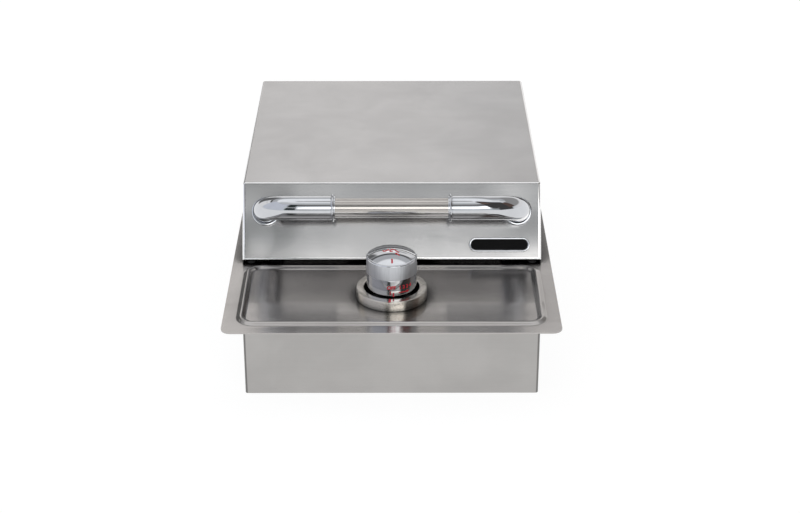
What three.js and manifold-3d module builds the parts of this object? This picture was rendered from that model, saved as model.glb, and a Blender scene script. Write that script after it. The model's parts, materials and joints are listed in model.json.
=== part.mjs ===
// Built-in gas side burner: a drop-in box under a pressed top deck, a control knob at the front,
// a hinged sheet lid with a tube handle, and below them the burner, its grate and the gas train.
// Millimetres, +Z up. X runs to the right, Y to the back, and Z is 0 at the underside of the box.

import * as THREE from 'three';
import { mergeVertices, toCreasedNormals } from 'three/addons/utils/BufferGeometryUtils.js';
import Module from 'manifold-3d';

const wasm = await Module();
wasm.setup();

// Shared fits
const seat_gap = 0.3;
const running_gap = 0.3;
const overrun = 2;
const keen_radius = 0.1;

// Top deck, one pressed sheet with a flange that lies on the counter
const deck_width = 337;
const deck_depth = 530;
const deck_sheet = 1.2;
const deck_corner_radius = 10;

// Raised bead pressed round the control area
const bead_width = 11;
const bead_height = 2.5;
const bead_side_inset = 18;
const bead_front_inset = 19.5;
const bead_length = 125.5;
const bead_corner_radius = 13;

// Box below the deck
const box_overhang = 20.5;
const box_height = 80;
const box_sheet = 1;
const box_bend_radius = 3;
const box_lip = 12;
const vent_slot_length = 38;
const vent_slot_width = 5;
const vent_slot_pitch = 16;
const vent_edge_margin = 34;
const vent_spread_share = 1.3;

// Burner bowl pressed into the box
const bowl_side_margin = 30.5;
const bowl_back_margin = 60;
const bowl_bead_gap = 3.5;
const bowl_drop = 27;
const bowl_sheet = 1;
const bowl_rim = 8;
const bowl_corner_radius = 22;
const bowl_floor_radius = 7;

// Lid, one folded and welded sheet shell
const lid_side_margin = 10;
const lid_back_margin = 20;
const lid_bead_gap = 3.4;
const lid_top_height = 75.5;
const lid_lift = 1.9;
const lid_sheet = 1.2;
const lid_bend_radius = 3;
const lid_lip_radius = 2.8;
const lid_lip = 12;
const lid_face_tilt = THREE.MathUtils.degToRad(30);

// Lid hinge
const hinge_height = 22;
const hinge_pin_radius = 4;
const hinge_head_radius = 7;
const hinge_head_height = 3.2;
const hinge_swing_gap = 2;
const hinge_plate_sheet = 2;
const hinge_washer_thickness = 1.2;
const hinge_washer_radius = 8;
const hinge_plate_front = 14;
const hinge_plate_back = 8;
const hinge_foot_width = 20;
const hinge_nut_radius = 6.5;
const hinge_nut_height = 5;
const hinge_notch_room = 8;
const hinge_notch_clearance = 6;
const hinge_notch_radius = 5;

// Rubber rests under the closed lid and behind the open one
const bumper_radius = 4.5;
const bumper_side_inset = 9.5;
const bumper_setback = 6.5;
const stop_pad_radius = 6;
const stop_pad_side_inset = 58.5;
const stop_pad_setback = 13;

// Lid handle, a satin tube in two polished elbows
const handle_drop_share = 0.365;
const handle_standoff = 38;
const handle_side_inset = 25.3;
const handle_bend_radius = 22;
const elbow_radius = 12.5;
const elbow_reach = 74.5;
const elbow_bead_rise = 2.1;
const elbow_bead_width = 2.6;
const elbow_bead_inset = 1.2;
const grip_radius = 10;
const socket_depth = 16;
const leg_ring_flange = 2.9;
const leg_ring_height = 3;
const leg_ring_edge = 1.5;
const handle_bolt_radius = 2.5;
const handle_bolt_head_radius = 8;
const handle_bolt_head_height = 3;
const handle_bolt_reach = 14;

// Badge plate on the lid's face, left bare
const badge_length = 64;
const badge_height = 15;
const badge_thickness = 1.4;
const badge_rim = 1.6;
const badge_recess = 0.5;
const badge_side_inset = 44.5;
const badge_rise = 18.45;
const badge_pin_radius = 1.2;
const badge_pin_length = 3;
const badge_pin_spacing = 44;

// Control knob and the ring round it
const knob_forward = 2.25;
const knob_radius = 25.6;
const knob_height = 34.2;
const knob_crown = 5.6;
const knob_wall = 3;
const knob_edge_radius = 1.2;
const knob_top_thickness = 4;
const knob_push_travel = 4;
const knob_lift = 11.4;
const ring_gap = 2.7;
const ring_wall = 7.8;
const ring_rise = 10.9;
const ring_chamfer = 0.5;
const hub_disc_thickness = 4;
const hub_disc_drop = 16;
const hub_barrel_radius = 9;
const hub_float_gap = 1.9;
const grommet_radius = 14;
const grommet_height = 2.6;
const grommet_groove_radius = 8.6;
const ring_screw_radius = 1.5;
const ring_screw_head_radius = 3;
const ring_screw_head_height = 2;
const ring_screw_bite = 6;

// Stem with its flat, tang, collar and spring
const stem_radius = 3.9;
const stem_flat_depth = 1.1;
const stem_flat_length = 22;
const stem_top_clearance = 4;
const stem_tang_width = 2.4;
const stem_collar_radius = 6.5;
const stem_collar_thickness = 2;
const stem_collar_gap = 0.5;
const stem_flat_step = 3;
const spring_wire_radius = 0.5;
const spring_coil_radius = 5.4;
const spring_turn_count = 3.5;

// Gas valve
const valve_axis_drop = 45;
const valve_floor_drop = 11;
const valve_barrel_rise = 23;
const valve_barrel_radius = 13;
const valve_lug_radius = 5;
const valve_lug_thickness = 7;
const valve_boss_radius = 8;
const valve_inlet_reach = 26;
const valve_outlet_reach = 24;
const valve_passage_radius = 2.6;
const valve_port_radius = 4.2;
const valve_inlet_depth = 16;
const valve_screw_spacing = 34;
const valve_screw_radius = 1.5;
const valve_screw_head_radius = 2.8;
const valve_screw_head_height = 1.8;
const plug_top_radius = 9.3;
const plug_bottom_radius = 7.2;
const plug_bottom_drop = 5;
const plug_top_rise = 21.5;
const plug_slot_rise = 3.5;
const bonnet_thickness = 4;
const bonnet_turret_radius = 7;
const bonnet_turret_height = 4;
const bracket_sheet = 1.5;
const bracket_screw_room = 1.7;
const bracket_tab = 12;
const bracket_depth = 30;

// Jet at the valve's outlet
const jet_hex_radius = 6;
const jet_hex_length = 6;
const jet_shank_radius = 3.8;
const jet_shank_length = 7;
const jet_nose_radius = 3.4;
const jet_nose_length = 8;
const jet_bore_radius = 0.8;

// Spark unit, its lead and electrode
const spark_unit_width = 18;
const spark_unit_depth = 16;
const spark_unit_height = 28;
const spark_unit_corner = 2;
const spark_nipple_radius = 2.6;
const spark_nipple_length = 4;
const lead_radius = 1.5;
const lead_straight = 8;
const lead_bow = 57;
const lead_sag = 10;
const lead_hole_index = 2;
const lead_route_shares = [
  [0.56, 0.11, 0.31], [0.79, 0.17, 0.64], [0.91, 0.232, 0.75], [0.97, 0.36, 0.85], [1, 0.52, 0.96],
  [1, 0.68, 1.04], [0.95, 0.81, 1.12], [0.81, 0.91, 1.12], [0.64, 0.975, 0.88],
];
const electrode_radius = 3;
const electrode_collar_radius = 5.5;
const electrode_collar_height = 4;
const electrode_drop = 11;
const electrode_rise = 13;
const electrode_head_gap = 8;
const electrode_angle = THREE.MathUtils.degToRad(-48);
const electrode_wire_radius = 0.9;
const electrode_wire_rise = 5;
const electrode_wire_bend = 3;
const electrode_wire_reach = 6;

// Burner: cast bowl with its mixing tube, brass ring and cap
const burner_cup_radius = 30;
const burner_cup_wall = 3;
const burner_cup_depth = 34;
const burner_flange_rim = 2;
const burner_flange_thickness = 3;
const burner_neck_rise = 4;
const burner_ear_length = 12;
const burner_ear_radius = 7;
const burner_ear_hole_radius = 2.4;
const burner_screw_radius = 2;
const burner_screw_head_radius = 4;
const burner_screw_head_height = 2.6;
const burner_screw_length = 12;
const mixer_radius = 13;
const mixer_wall = 2.5;
const mixer_jet_overlap = 2.3;
const air_window_length = 8;
const air_window_width = 9;
const air_window_setback = 5;
const shutter_wall = 1.2;
const shutter_length = 15;
const shutter_setback = 2;
const shutter_tab_rise = 6;
const shutter_tab_thickness = 2;
const shutter_tab_width = 8;
const head_radius = 38;
const head_bore_radius = 24;
const head_height = 12;
const head_port_count = 20;
const head_port_width = 2.4;
const head_port_height = 5;
const head_port_rise = 4;
const cap_setback = 3;
const cap_height = 6;
const cap_plug_gap = 0.6;
const cap_plug_depth = 3;

// Cast grate over the bowl
const grate_side_gap = 6;
const grate_end_gap = 16;
const grate_corner_radius = 20;
const grate_bar = 9;
const grate_bar_top = 10;
const grate_bar_height = 9;
const grate_finger_top = 16;
const grate_finger_width = 7;
const grate_centre_radius = 26;
const grate_foot_radius = 6;
const grate_foot_taper_share = 0.75;
const grate_foot_inset = 7;
const finger_crown_shares = [[0, 0], [0.06, 0.35], [0.2, 0.8], [0.38, 1], [0.9, 1], [1, 0.8]];

// Heat baffle between the controls and the bowl
const baffle_shutter_gap = 3;
const baffle_sheet = 1;
const baffle_top_gap = 3;
const baffle_foot = 12;
const baffle_hole_gap = 2;

// Gas pipe and inlet
const pipe_radius = 4.75;
const pipe_bend_radius = 25;
const pipe_wall_gap = 33;
const flare_nut_radius = 8.5;
const flare_nut_length = 14;
const inlet_hex_radius = 12;
const inlet_hex_length = 8;
const inlet_thread_radius = 8;
const inlet_outside_length = 17;
const inlet_bore_radius = 4;
const inlet_nose_length = 2;
const inlet_nose_radius = 6;
const locknut_radius = 12;
const locknut_height = 5;

// Facet counts
const fine_sides = 48;
const round_sides = 32;
const hidden_sides = 24;
const small_sides = 12;
const tiny_sides = 8;
const hex_sides = 6;
const corner_steps = 5;
const bend_steps = 3;
const slot_steps = 2;
const bead_steps = 8;
const arc_steps = 6;
const band_steps = 4;
const lead_steps = 30;
const coil_steps = 10;

// Sizes and places that follow from the sizes above
const deck_top = box_height;
const deck_bottom = deck_top - deck_sheet;
const deck_front = -deck_depth / 2;
const deck_back = deck_depth / 2;
const box_width = deck_width - 2 * box_overhang;
const box_depth = deck_depth - 2 * box_overhang;
const box_front = -box_depth / 2;
const box_back = box_depth / 2;
const box_inner_half = box_width / 2 - box_sheet;
const pipe_offset = box_width / 2 - pipe_wall_gap;

const bead_middle = deck_front + bead_front_inset + bead_length / 2;
const bead_back = deck_front + bead_front_inset + bead_length + bead_width / 2;
const bowl_width = deck_width - 2 * bowl_side_margin;
const bowl_front = bead_back + bowl_bead_gap;
const bowl_length = deck_back - bowl_back_margin - bowl_front;
const bowl_middle = bowl_front + bowl_length / 2;
const bowl_floor = deck_top - bowl_drop + bowl_sheet;
const bowl_underside = bowl_floor - bowl_sheet;
const grate_width = bowl_width - 2 * grate_side_gap;
const grate_length = bowl_length - 2 * grate_end_gap;

const lid_width = deck_width - 2 * lid_side_margin;
const lid_inner_half = lid_width / 2 - lid_sheet;
const lid_front = bead_back + lid_bead_gap;
const lid_back = deck_back - lid_back_margin;
const lid_bottom = deck_top + lid_lift;
const lid_top = deck_top + lid_top_height;
const lid_crease = lid_front + (lid_top - lid_bottom) * Math.tan(lid_face_tilt);
const lid_face_length = (lid_top - lid_bottom) / Math.cos(lid_face_tilt);
const handle_drop = lid_face_length * handle_drop_share;
const handle_leg_spacing = lid_width - 2 * handle_side_inset;
const badge_offset = lid_width / 2 - badge_side_inset;
const badge_drop = lid_face_length - badge_rise;
const stop_pad_spacing = lid_width - 2 * stop_pad_side_inset;

const hinge_swing_radius = hinge_height - hinge_swing_gap;
const hinge_middle = lid_back - hinge_swing_radius;
const hinge_level = deck_top + hinge_height;
const hinge_plate_outer = lid_inner_half - hinge_washer_thickness - 2 * running_gap;
const hinge_notch_width = hinge_foot_width + hinge_notch_room;
const hinge_notch_rise = hinge_plate_back + hinge_notch_clearance;

const ring_inner_radius = knob_radius + ring_gap;
const ring_outer_radius = ring_inner_radius + ring_wall;
const ring_screw_circle = (ring_outer_radius + ring_inner_radius) / 2;
const knob_middle = bead_middle - knob_forward;
const knob_bottom = deck_top + knob_lift;
const knob_rim = knob_bottom + knob_height;
const knob_inner_top = knob_rim - knob_top_thickness;
const hub_barrel_bottom = deck_top + grommet_height + knob_push_travel + hub_float_gap;

const valve_axis_height = deck_top - valve_axis_drop;
const valve_floor = valve_axis_height - valve_floor_drop;
const valve_barrel_top = valve_axis_height + valve_barrel_rise;
const plug_bottom_height = valve_axis_height - plug_bottom_drop;
const plug_top_height = valve_axis_height + plug_top_rise;
const plug_slot_floor = valve_axis_height + plug_slot_rise;
const bracket_level = valve_barrel_top + seat_gap + bonnet_thickness + seat_gap;
const bracket_half_width = ring_screw_circle - ring_screw_head_radius - bracket_sheet - bracket_screw_room;
const bonnet_top = valve_barrel_top + seat_gap + bonnet_thickness + bonnet_turret_height;
const collar_top = deck_bottom - grommet_height / 2 - stem_collar_gap;
const collar_bottom = collar_top - stem_collar_thickness;
const stem_top = knob_inner_top - stem_top_clearance;
const tang_bottom = plug_slot_floor + knob_push_travel + running_gap;
const tang_top = plug_top_height + knob_push_travel + running_gap;
const jet_start = knob_middle + valve_outlet_reach;
const jet_end = jet_start + seat_gap + jet_hex_length + jet_nose_length;

const burner_middle = bowl_middle;
const burner_cup_bottom = bowl_floor - burner_cup_depth;
const burner_flange_bottom = bowl_floor;
const burner_flange_top = burner_flange_bottom + burner_flange_thickness;
const burner_flange_radius = head_radius + burner_flange_rim;
const burner_ear_place = burner_flange_radius + burner_ear_length - burner_ear_radius;
const mixer_mouth = jet_end - mixer_jet_overlap;
const mixer_bore_radius = mixer_radius - mixer_wall;
const baffle_back = mixer_mouth + shutter_setback + shutter_length + baffle_shutter_gap + baffle_sheet;
const head_bottom = burner_flange_top + seat_gap;
const head_top = head_bottom + head_height;
const cap_radius = head_radius - cap_setback;
const cap_plug_radius = head_bore_radius - cap_plug_gap;
const electrode_circle_radius = head_radius + electrode_head_gap;
const electrode_bottom = bowl_underside - electrode_drop;
const electrode_top = bowl_floor + electrode_rise;

// Finishes
const finishes = {
  deck_steel: { color: 0xa5a3a1, roughness: 0.32, metalness: 1 },
  box_steel: { color: 0xaeacab, roughness: 0.4, metalness: 1 },
  lid_steel: { color: 0xb2b0af, roughness: 0.36, metalness: 1 },
  chrome: { color: 0xd2d4d6, roughness: 0.06, metalness: 1 },
  satin_steel: { color: 0xc2bfbb, roughness: 0.25, metalness: 1 },
  turned_steel: { color: 0xb4b0a9, roughness: 0.3, metalness: 1 },
  plated_steel: { color: 0xa9a9a6, roughness: 0.45, metalness: 1 },
  black_enamel: { color: 0x141416, roughness: 0.35, metalness: 0 },
  cast_iron: { color: 0x1d1d1f, roughness: 0.7, metalness: 0.3 },
  cast_aluminium: { color: 0x9a9b9c, roughness: 0.55, metalness: 1 },
  brass: { color: 0xb08d4c, roughness: 0.35, metalness: 1 },
  rubber: { color: 0x141414, roughness: 0.8, metalness: 0 },
  black_plastic: { color: 0x17181a, roughness: 0.5, metalness: 0 },
  nylon: { color: 0xd9d5c8, roughness: 0.55, metalness: 0 },
  ceramic: { color: 0xece8de, roughness: 0.4, metalness: 0 },
  lead_sleeve: { color: 0x7a2a20, roughness: 0.6, metalness: 0 },
  pipe_aluminium: { color: 0xb9babb, roughness: 0.4, metalness: 1 },
};
const materials = Object.fromEntries(
  Object.entries(finishes).map(([name, look]) => [name, new THREE.MeshStandardMaterial({ name, ...look })]),
);

// Shape tools

// Keeps only merged positions, drops collapsed faces, and turns the faces outwards
function tidy(geometry) {
  const bare = geometry.clone();
  bare.deleteAttribute('normal');
  bare.deleteAttribute('uv');
  const merged = mergeVertices(bare);
  const place = merged.getAttribute('position');
  const faces = [];
  const corners = [new THREE.Vector3(), new THREE.Vector3(), new THREE.Vector3()];
  const edge_cross = new THREE.Vector3();
  let volume = 0;
  for (let start = 0; start < merged.index.count; start += 3) {
    const [a, b, c] = [0, 1, 2].map((step) => merged.index.getX(start + step));
    if (a === b || b === c || c === a) continue;
    faces.push([a, b, c]);
    [a, b, c].forEach((vertex, corner) => corners[corner].fromBufferAttribute(place, vertex));
    volume += corners[0].dot(edge_cross.crossVectors(corners[1], corners[2]));
  }
  const outward = volume < 0 ? faces.map(([a, b, c]) => [a, c, b]) : faces;
  merged.setIndex(outward.flat());
  return merged;
}

function to_solid(geometry) {
  const shape = tidy(geometry);
  return new wasm.Manifold(new wasm.Mesh({
    numProp: 3,
    vertProperties: shape.getAttribute('position').array,
    triVerts: new Uint32Array(shape.index.array),
  }));
}

function to_geometry(solid) {
  const mesh = solid.getMesh();
  const geometry = new THREE.BufferGeometry();
  geometry.setAttribute('position', new THREE.BufferAttribute(new Float32Array(mesh.vertProperties), 3));
  geometry.setIndex(Array.from(mesh.triVerts));
  return geometry;
}

function join(first, ...others) {
  return to_geometry(others.reduce((body, other) => body.add(to_solid(other)), to_solid(first)));
}

function cut(body, ...tools) {
  return to_geometry(tools.reduce((left, tool) => left.subtract(to_solid(tool)), to_solid(body)));
}

function common(first, second) {
  return to_geometry(to_solid(first).intersect(to_solid(second)));
}

// Block between two corners
function block(low, high) {
  const geometry = new THREE.BoxGeometry(high[0] - low[0], high[1] - low[1], high[2] - low[2]);
  return geometry.translate((low[0] + high[0]) / 2, (low[1] + high[1]) / 2, (low[2] + high[2]) / 2);
}

// Round bar from a base point along an axis letter
function rod(axis, base, radius, length, sides, end_radius = radius) {
  const geometry = new THREE.CylinderGeometry(end_radius, radius, length, sides);
  geometry.translate(0, length / 2, 0);
  if (axis === 'z') geometry.rotateX(Math.PI / 2);
  if (axis === 'x') geometry.rotateZ(-Math.PI / 2);
  return geometry.translate(...base);
}

// Turns a radius and height profile about an upright axis
function turned(profile, sides) {
  const points = profile.map(([radius, height]) => new THREE.Vector2(radius, height));
  return tidy(new THREE.LatheGeometry(points, sides).rotateX(Math.PI / 2));
}

// Turns a profile of radius and distance about the Y axis
function turned_along_y(profile, sides) {
  const points = profile.map(([radius, distance]) => new THREE.Vector2(radius, distance));
  return tidy(new THREE.LatheGeometry(points, sides));
}

// Outline with its corners rounded; each corner is [a, b, radius]
function rounded_outline(corners, steps) {
  const outline = [];
  corners.forEach(([a, b, radius], index) => {
    const here = new THREE.Vector2(a, b);
    if (!radius) {
      outline.push(here);
      return;
    }
    const before = corners[(index + corners.length - 1) % corners.length];
    const after = corners[(index + 1) % corners.length];
    const to_before = new THREE.Vector2(before[0], before[1]).sub(here).normalize();
    const to_after = new THREE.Vector2(after[0], after[1]).sub(here).normalize();
    const half_angle = Math.acos(THREE.MathUtils.clamp(to_before.dot(to_after), -1, 1)) / 2;
    const bisector = to_before.clone().add(to_after).normalize();
    const centre = here.clone().addScaledVector(bisector, radius / Math.sin(half_angle));
    const start = here.clone().addScaledVector(to_before, radius / Math.tan(half_angle)).sub(centre);
    const sweep = Math.PI - 2 * half_angle;
    const turn = Math.sign(to_after.cross(to_before));
    for (let step = 0; step <= steps; step += 1) {
      const spoke = start.clone().rotateAround(new THREE.Vector2(0, 0), turn * sweep * (step / steps));
      outline.push(centre.clone().add(spoke));
    }
  });
  return outline;
}

// Extrudes an outline of [a, b] points between two distances along the axis that it faces
function slab(outline, facing, from, to, holes = []) {
  const shape = new THREE.Shape(outline.map((point) => as_point(point)));
  holes.forEach((hole) => shape.holes.push(new THREE.Path(hole.map((point) => as_point(point)))));
  const geometry = new THREE.ExtrudeGeometry(shape, { depth: to - from, bevelEnabled: false });
  geometry.translate(0, 0, from);
  return tidy(geometry.applyMatrix4(facing_frame(facing)));
}

function as_point(point) {
  return point.isVector2 ? point : new THREE.Vector2(point[0], point[1]);
}

// Facing z draws in X and Y; facing x draws in Y and Z; facing y draws in X and Z
function facing_frame(facing) {
  const [x, y, z] = [new THREE.Vector3(1, 0, 0), new THREE.Vector3(0, 1, 0), new THREE.Vector3(0, 0, 1)];
  if (facing === 'x') return new THREE.Matrix4().makeBasis(y, z, x);
  if (facing === 'y') return new THREE.Matrix4().makeBasis(x, z, y);
  return new THREE.Matrix4();
}

// Corners of a rectangle about a centre, with one radius
function rectangle_corners(width, depth, radius, centre_x = 0, centre_y = 0) {
  return [[-1, -1], [1, -1], [1, 1], [-1, 1]].map(([side, end]) => (
    [centre_x + side * width / 2, centre_y + end * depth / 2, radius]));
}

function rectangle_ring(width, depth, radius, height, centre_y) {
  const outline = rounded_outline(rectangle_corners(width, depth, radius, 0, centre_y), corner_steps);
  return outline.map((point) => [point.x, point.y, height]);
}

// Joins a run of rings with equal point counts; the ends close flat unless the run is endless
function loft(rings, is_endless = false) {
  const size = rings[0].length;
  const faces = [];
  const band_count = is_endless ? rings.length : rings.length - 1;
  for (let band = 0; band < band_count; band += 1) {
    const near = band * size;
    const far = ((band + 1) % rings.length) * size;
    for (let spot = 0; spot < size; spot += 1) {
      const next = (spot + 1) % size;
      faces.push(near + spot, near + next, far + next, near + spot, far + next, far + spot);
    }
  }
  if (!is_endless) {
    const last = (rings.length - 1) * size;
    for (let spot = 1; spot < size - 1; spot += 1) {
      faces.push(0, spot + 1, spot, last, last + spot, last + spot + 1);
    }
  }
  const geometry = new THREE.BufferGeometry();
  geometry.setAttribute('position', new THREE.Float32BufferAttribute(rings.flat(2), 3));
  geometry.setIndex(faces);
  return tidy(geometry);
}

// Path of straight runs joined by true arcs of one radius; an arc takes several steps, a run takes one
class BentPath extends THREE.Curve {
  constructor(corners, radius) {
    super();
    this.runs = [];
    let start = corners[0];
    for (let index = 1; index < corners.length - 1; index += 1) {
      const corner = corners[index];
      const incoming = corner.clone().sub(corners[index - 1]).normalize();
      const outgoing = corners[index + 1].clone().sub(corner).normalize();
      const turn = Math.acos(incoming.dot(outgoing));
      const setback = radius * Math.tan(turn / 2);
      const arc_start = corner.clone().addScaledVector(incoming, -setback);
      const side = outgoing.clone().addScaledVector(incoming, -incoming.dot(outgoing)).normalize();
      const centre = arc_start.clone().addScaledVector(side, radius);
      this.runs.push({ steps: 1, start, heading: incoming, length: start.distanceTo(arc_start) });
      this.runs.push({ steps: arc_steps, centre, side, heading: incoming, radius, turn });
      start = corner.clone().addScaledVector(outgoing, setback);
    }
    const end = corners[corners.length - 1];
    const heading = end.clone().sub(start).normalize();
    this.runs.push({ steps: 1, start, heading, length: start.distanceTo(end) });
    this.step_count = this.runs.reduce((sum, run) => sum + run.steps, 0);
  }

  getUtoTmapping(share) {
    return share;
  }

  getPoint(share, target = new THREE.Vector3()) {
    let left = share * this.step_count;
    const run = this.runs.find((piece, index) => {
      if (left <= piece.steps || index === this.runs.length - 1) return true;
      left -= piece.steps;
      return false;
    });
    const run_share = left / run.steps;
    if (!run.centre) return target.copy(run.start).addScaledVector(run.heading, run.length * run_share);
    const angle = run.turn * run_share;
    target.copy(run.centre).addScaledVector(run.side, -run.radius * Math.cos(angle));
    return target.addScaledVector(run.heading, run.radius * Math.sin(angle));
  }
}

// Coil about an upright axis
class Coil extends THREE.Curve {
  constructor(centre, radius, height, turns) {
    super();
    Object.assign(this, { centre, radius, height, turns });
  }

  getPoint(share, target = new THREE.Vector3()) {
    const angle = share * this.turns * 2 * Math.PI;
    return target.set(
      this.centre.x + this.radius * Math.cos(angle),
      this.centre.y + this.radius * Math.sin(angle),
      this.centre.z + this.height * share,
    );
  }
}

function tube_along(path, radius, sides, steps = path.step_count) {
  const circle = new THREE.EllipseCurve(0, 0, radius, radius).getPoints(sides);
  const section = new THREE.Shape(circle.slice(0, sides));
  return tidy(new THREE.ExtrudeGeometry(section, { steps, extrudePath: path, bevelEnabled: false }));
}

const model = new THREE.Group();

function add_piece(name, geometry, material, parent = model) {
  const mesh = new THREE.Mesh(toCreasedNormals(tidy(geometry), crease_angle), material);
  mesh.name = name;
  parent.add(mesh);
  return mesh;
}
const crease_angle = THREE.MathUtils.degToRad(35);

const sides_of_part = [['left', -1], ['right', 1]];

// Top deck

// Rings of the bead's cross-section, swept round a rounded rectangle
function bead_body(drop) {
  const middle_width = deck_width - 2 * bead_side_inset;
  const section = [[-bead_width / 2, -bead_height - deck_sheet]];
  for (let step = 0; step <= bead_steps; step += 1) {
    const share = step / bead_steps;
    section.push([bead_width * (share - 1 / 2), bead_height * (1 - Math.cos(2 * Math.PI * share)) / 2]);
  }
  section.push([bead_width / 2, -bead_height - deck_sheet]);
  return loft(section.map(([offset, rise]) => rectangle_ring(
    middle_width + 2 * offset,
    bead_length + 2 * offset,
    bead_corner_radius + offset,
    deck_top - drop + rise,
    bead_middle,
  )), true);
}

function bowl_opening_outline(margin) {
  const corners = rectangle_corners(
    bowl_width + 2 * margin, bowl_length + 2 * margin, bowl_corner_radius + margin, 0, bowl_middle);
  return rounded_outline(corners, corner_steps);
}

function build_deck() {
  const corners = rectangle_corners(deck_width, deck_depth, deck_corner_radius);
  const outline = rounded_outline(corners, corner_steps);
  const sheet = slab(outline, 'z', deck_bottom, deck_top, [bowl_opening_outline(0)]);
  const ridge = common(bead_body(0), block(
    [-deck_width / 2, deck_front, deck_bottom],
    [deck_width / 2, deck_back, deck_top + bead_height + overrun],
  ));
  const stem_hole = rod('z', [0, knob_middle, deck_bottom - overrun], grommet_groove_radius,
    deck_sheet + 2 * overrun, round_sides);
  const screw_holes = sides_of_part.map(([, side]) => rod(
    'z',
    [side * ring_screw_circle, knob_middle, deck_bottom - overrun],
    ring_screw_radius + running_gap,
    deck_sheet + 2 * overrun,
    tiny_sides,
  ));
  add_piece('top_deck', cut(join(sheet, ridge), bead_body(deck_sheet), stem_hole, ...screw_holes),
    materials.deck_steel);
}

// Box

// Plan of the folded front and sides, drawn as one U-shaped strip
function build_box_shell() {
  const half = box_width / 2;
  const outer = [
    [-half, box_back, 0], [-half, box_front, box_bend_radius],
    [half, box_front, box_bend_radius], [half, box_back, 0],
  ];
  const inner = [
    [half - box_sheet, box_back, 0],
    [half - box_sheet, box_front + box_sheet, box_bend_radius - box_sheet],
    [-half + box_sheet, box_front + box_sheet, box_bend_radius - box_sheet],
    [-half + box_sheet, box_back, 0],
  ];
  add_piece('box_shell', slab(rounded_outline([...outer, ...inner], bend_steps), 'z', 0, deck_bottom),
    materials.box_steel);
}

// Slots on a grid, each a rounded slot drawn through a sheet
function vent_slots(facing, from, to, columns, rows) {
  return columns.flatMap((column) => rows.map((row) => {
    const corners = rectangle_corners(vent_slot_length, vent_slot_width, vent_slot_width / 2 - keen_radius,
      column, row);
    return slab(rounded_outline(corners, slot_steps), facing, from, to);
  }));
}

function build_box_back() {
  const half = box_inner_half - seat_gap;
  const sheet_front = box_back - box_sheet;
  const strip = [
    [-half, sheet_front - box_lip], [-half, box_back], [half, box_back], [half, sheet_front - box_lip],
    [half - box_sheet, sheet_front - box_lip], [half - box_sheet, sheet_front],
    [-half + box_sheet, sheet_front], [-half + box_sheet, sheet_front - box_lip],
  ];
  const panel = slab(strip, 'z', box_sheet + seat_gap, deck_bottom);
  const slot_middle = (box_sheet + deck_bottom) / 2;
  const columns = [0, 1, 2].map((step) => step * vent_slot_length * vent_spread_share);
  const rows = [-1, 0, 1].map((step) => slot_middle + step * vent_slot_pitch);
  const slots = vent_slots('y', sheet_front - overrun, box_back + overrun, columns, rows);
  const inlet_hole = rod('y', [-pipe_offset, sheet_front - overrun, valve_axis_height],
    inlet_thread_radius + running_gap, box_sheet + 2 * overrun, small_sides);
  add_piece('box_back', cut(panel, inlet_hole, ...slots), materials.box_steel);
}

function build_box_bottom() {
  const half = box_inner_half - seat_gap;
  const lip_top = box_sheet + box_lip;
  const strip = [
    [-half, lip_top], [-half, 0], [half, 0], [half, lip_top],
    [half - box_sheet, lip_top], [half - box_sheet, box_sheet],
    [-half + box_sheet, box_sheet], [-half + box_sheet, lip_top],
  ];
  const front = box_front + box_bend_radius;
  const back = box_back - box_sheet - box_lip - seat_gap;
  const floor = slab([[-half, 0], [half, 0], [half, box_sheet], [-half, box_sheet]], 'y', front, box_back);
  const tray = join(floor, slab(strip, 'y', front, back));
  const columns = [-1, 0, 1].map((step) => step * vent_slot_length * vent_spread_share);
  const front_rows = [0, 1].map((step) => box_front + vent_edge_margin + step * vent_slot_pitch);
  const back_rows = [0, 1].map((step) => box_back - vent_edge_margin - step * vent_slot_pitch);
  const slots = vent_slots('z', -overrun, box_sheet + overrun, columns, [...front_rows, ...back_rows]);
  add_piece('box_bottom', cut(tray, ...slots), materials.box_steel);
}

// Burner bowl

function build_bowl() {
  const ring = (margin, radius, height) => rectangle_ring(
    bowl_width + 2 * margin, bowl_length + 2 * margin, radius, height, bowl_middle);
  const rings = [];
  for (let step = 0; step <= bend_steps; step += 1) {
    const angle = (Math.PI / 2) * (step / bend_steps);
    const reach = bowl_floor_radius * (1 - Math.sin(angle));
    rings.push(ring(bowl_sheet - reach, bowl_corner_radius - reach,
      bowl_underside + bowl_floor_radius * (1 - Math.cos(angle))));
  }
  const rim_top = deck_bottom;
  rings.push(ring(bowl_sheet, bowl_corner_radius + bowl_sheet, rim_top - bowl_sheet));
  rings.push(ring(bowl_rim, bowl_corner_radius + bowl_rim, rim_top - bowl_sheet));
  rings.push(ring(bowl_rim, bowl_corner_radius + bowl_rim, rim_top));
  rings.push(ring(0, bowl_corner_radius, rim_top));
  for (let step = bend_steps; step >= 0; step -= 1) {
    const angle = (Math.PI / 2) * (step / bend_steps);
    const inner_radius = bowl_floor_radius - bowl_sheet;
    const reach = inner_radius * (1 - Math.sin(angle));
    rings.push(ring(-reach, bowl_corner_radius - reach, bowl_floor + inner_radius * (1 - Math.cos(angle))));
  }
  const floor_hole = (x, y, radius, sides) => rod('z', [x, y, bowl_underside - overrun], radius,
    bowl_sheet + 2 * overrun, sides);
  const [spark_x, spark_y] = electrode_place();
  const holes = [
    floor_hole(0, burner_middle, burner_cup_radius + seat_gap * 3, hidden_sides),
    floor_hole(spark_x, spark_y, electrode_radius + seat_gap, small_sides),
    ...sides_of_part.map(([, side]) => floor_hole(side * burner_ear_place, burner_middle,
      burner_ear_hole_radius, tiny_sides)),
  ];
  add_piece('burner_bowl', cut(loft(rings), ...holes), materials.deck_steel);
}

function electrode_place() {
  return [
    electrode_circle_radius * Math.cos(electrode_angle),
    burner_middle + electrode_circle_radius * Math.sin(electrode_angle),
  ];
}

// Burner

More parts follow.
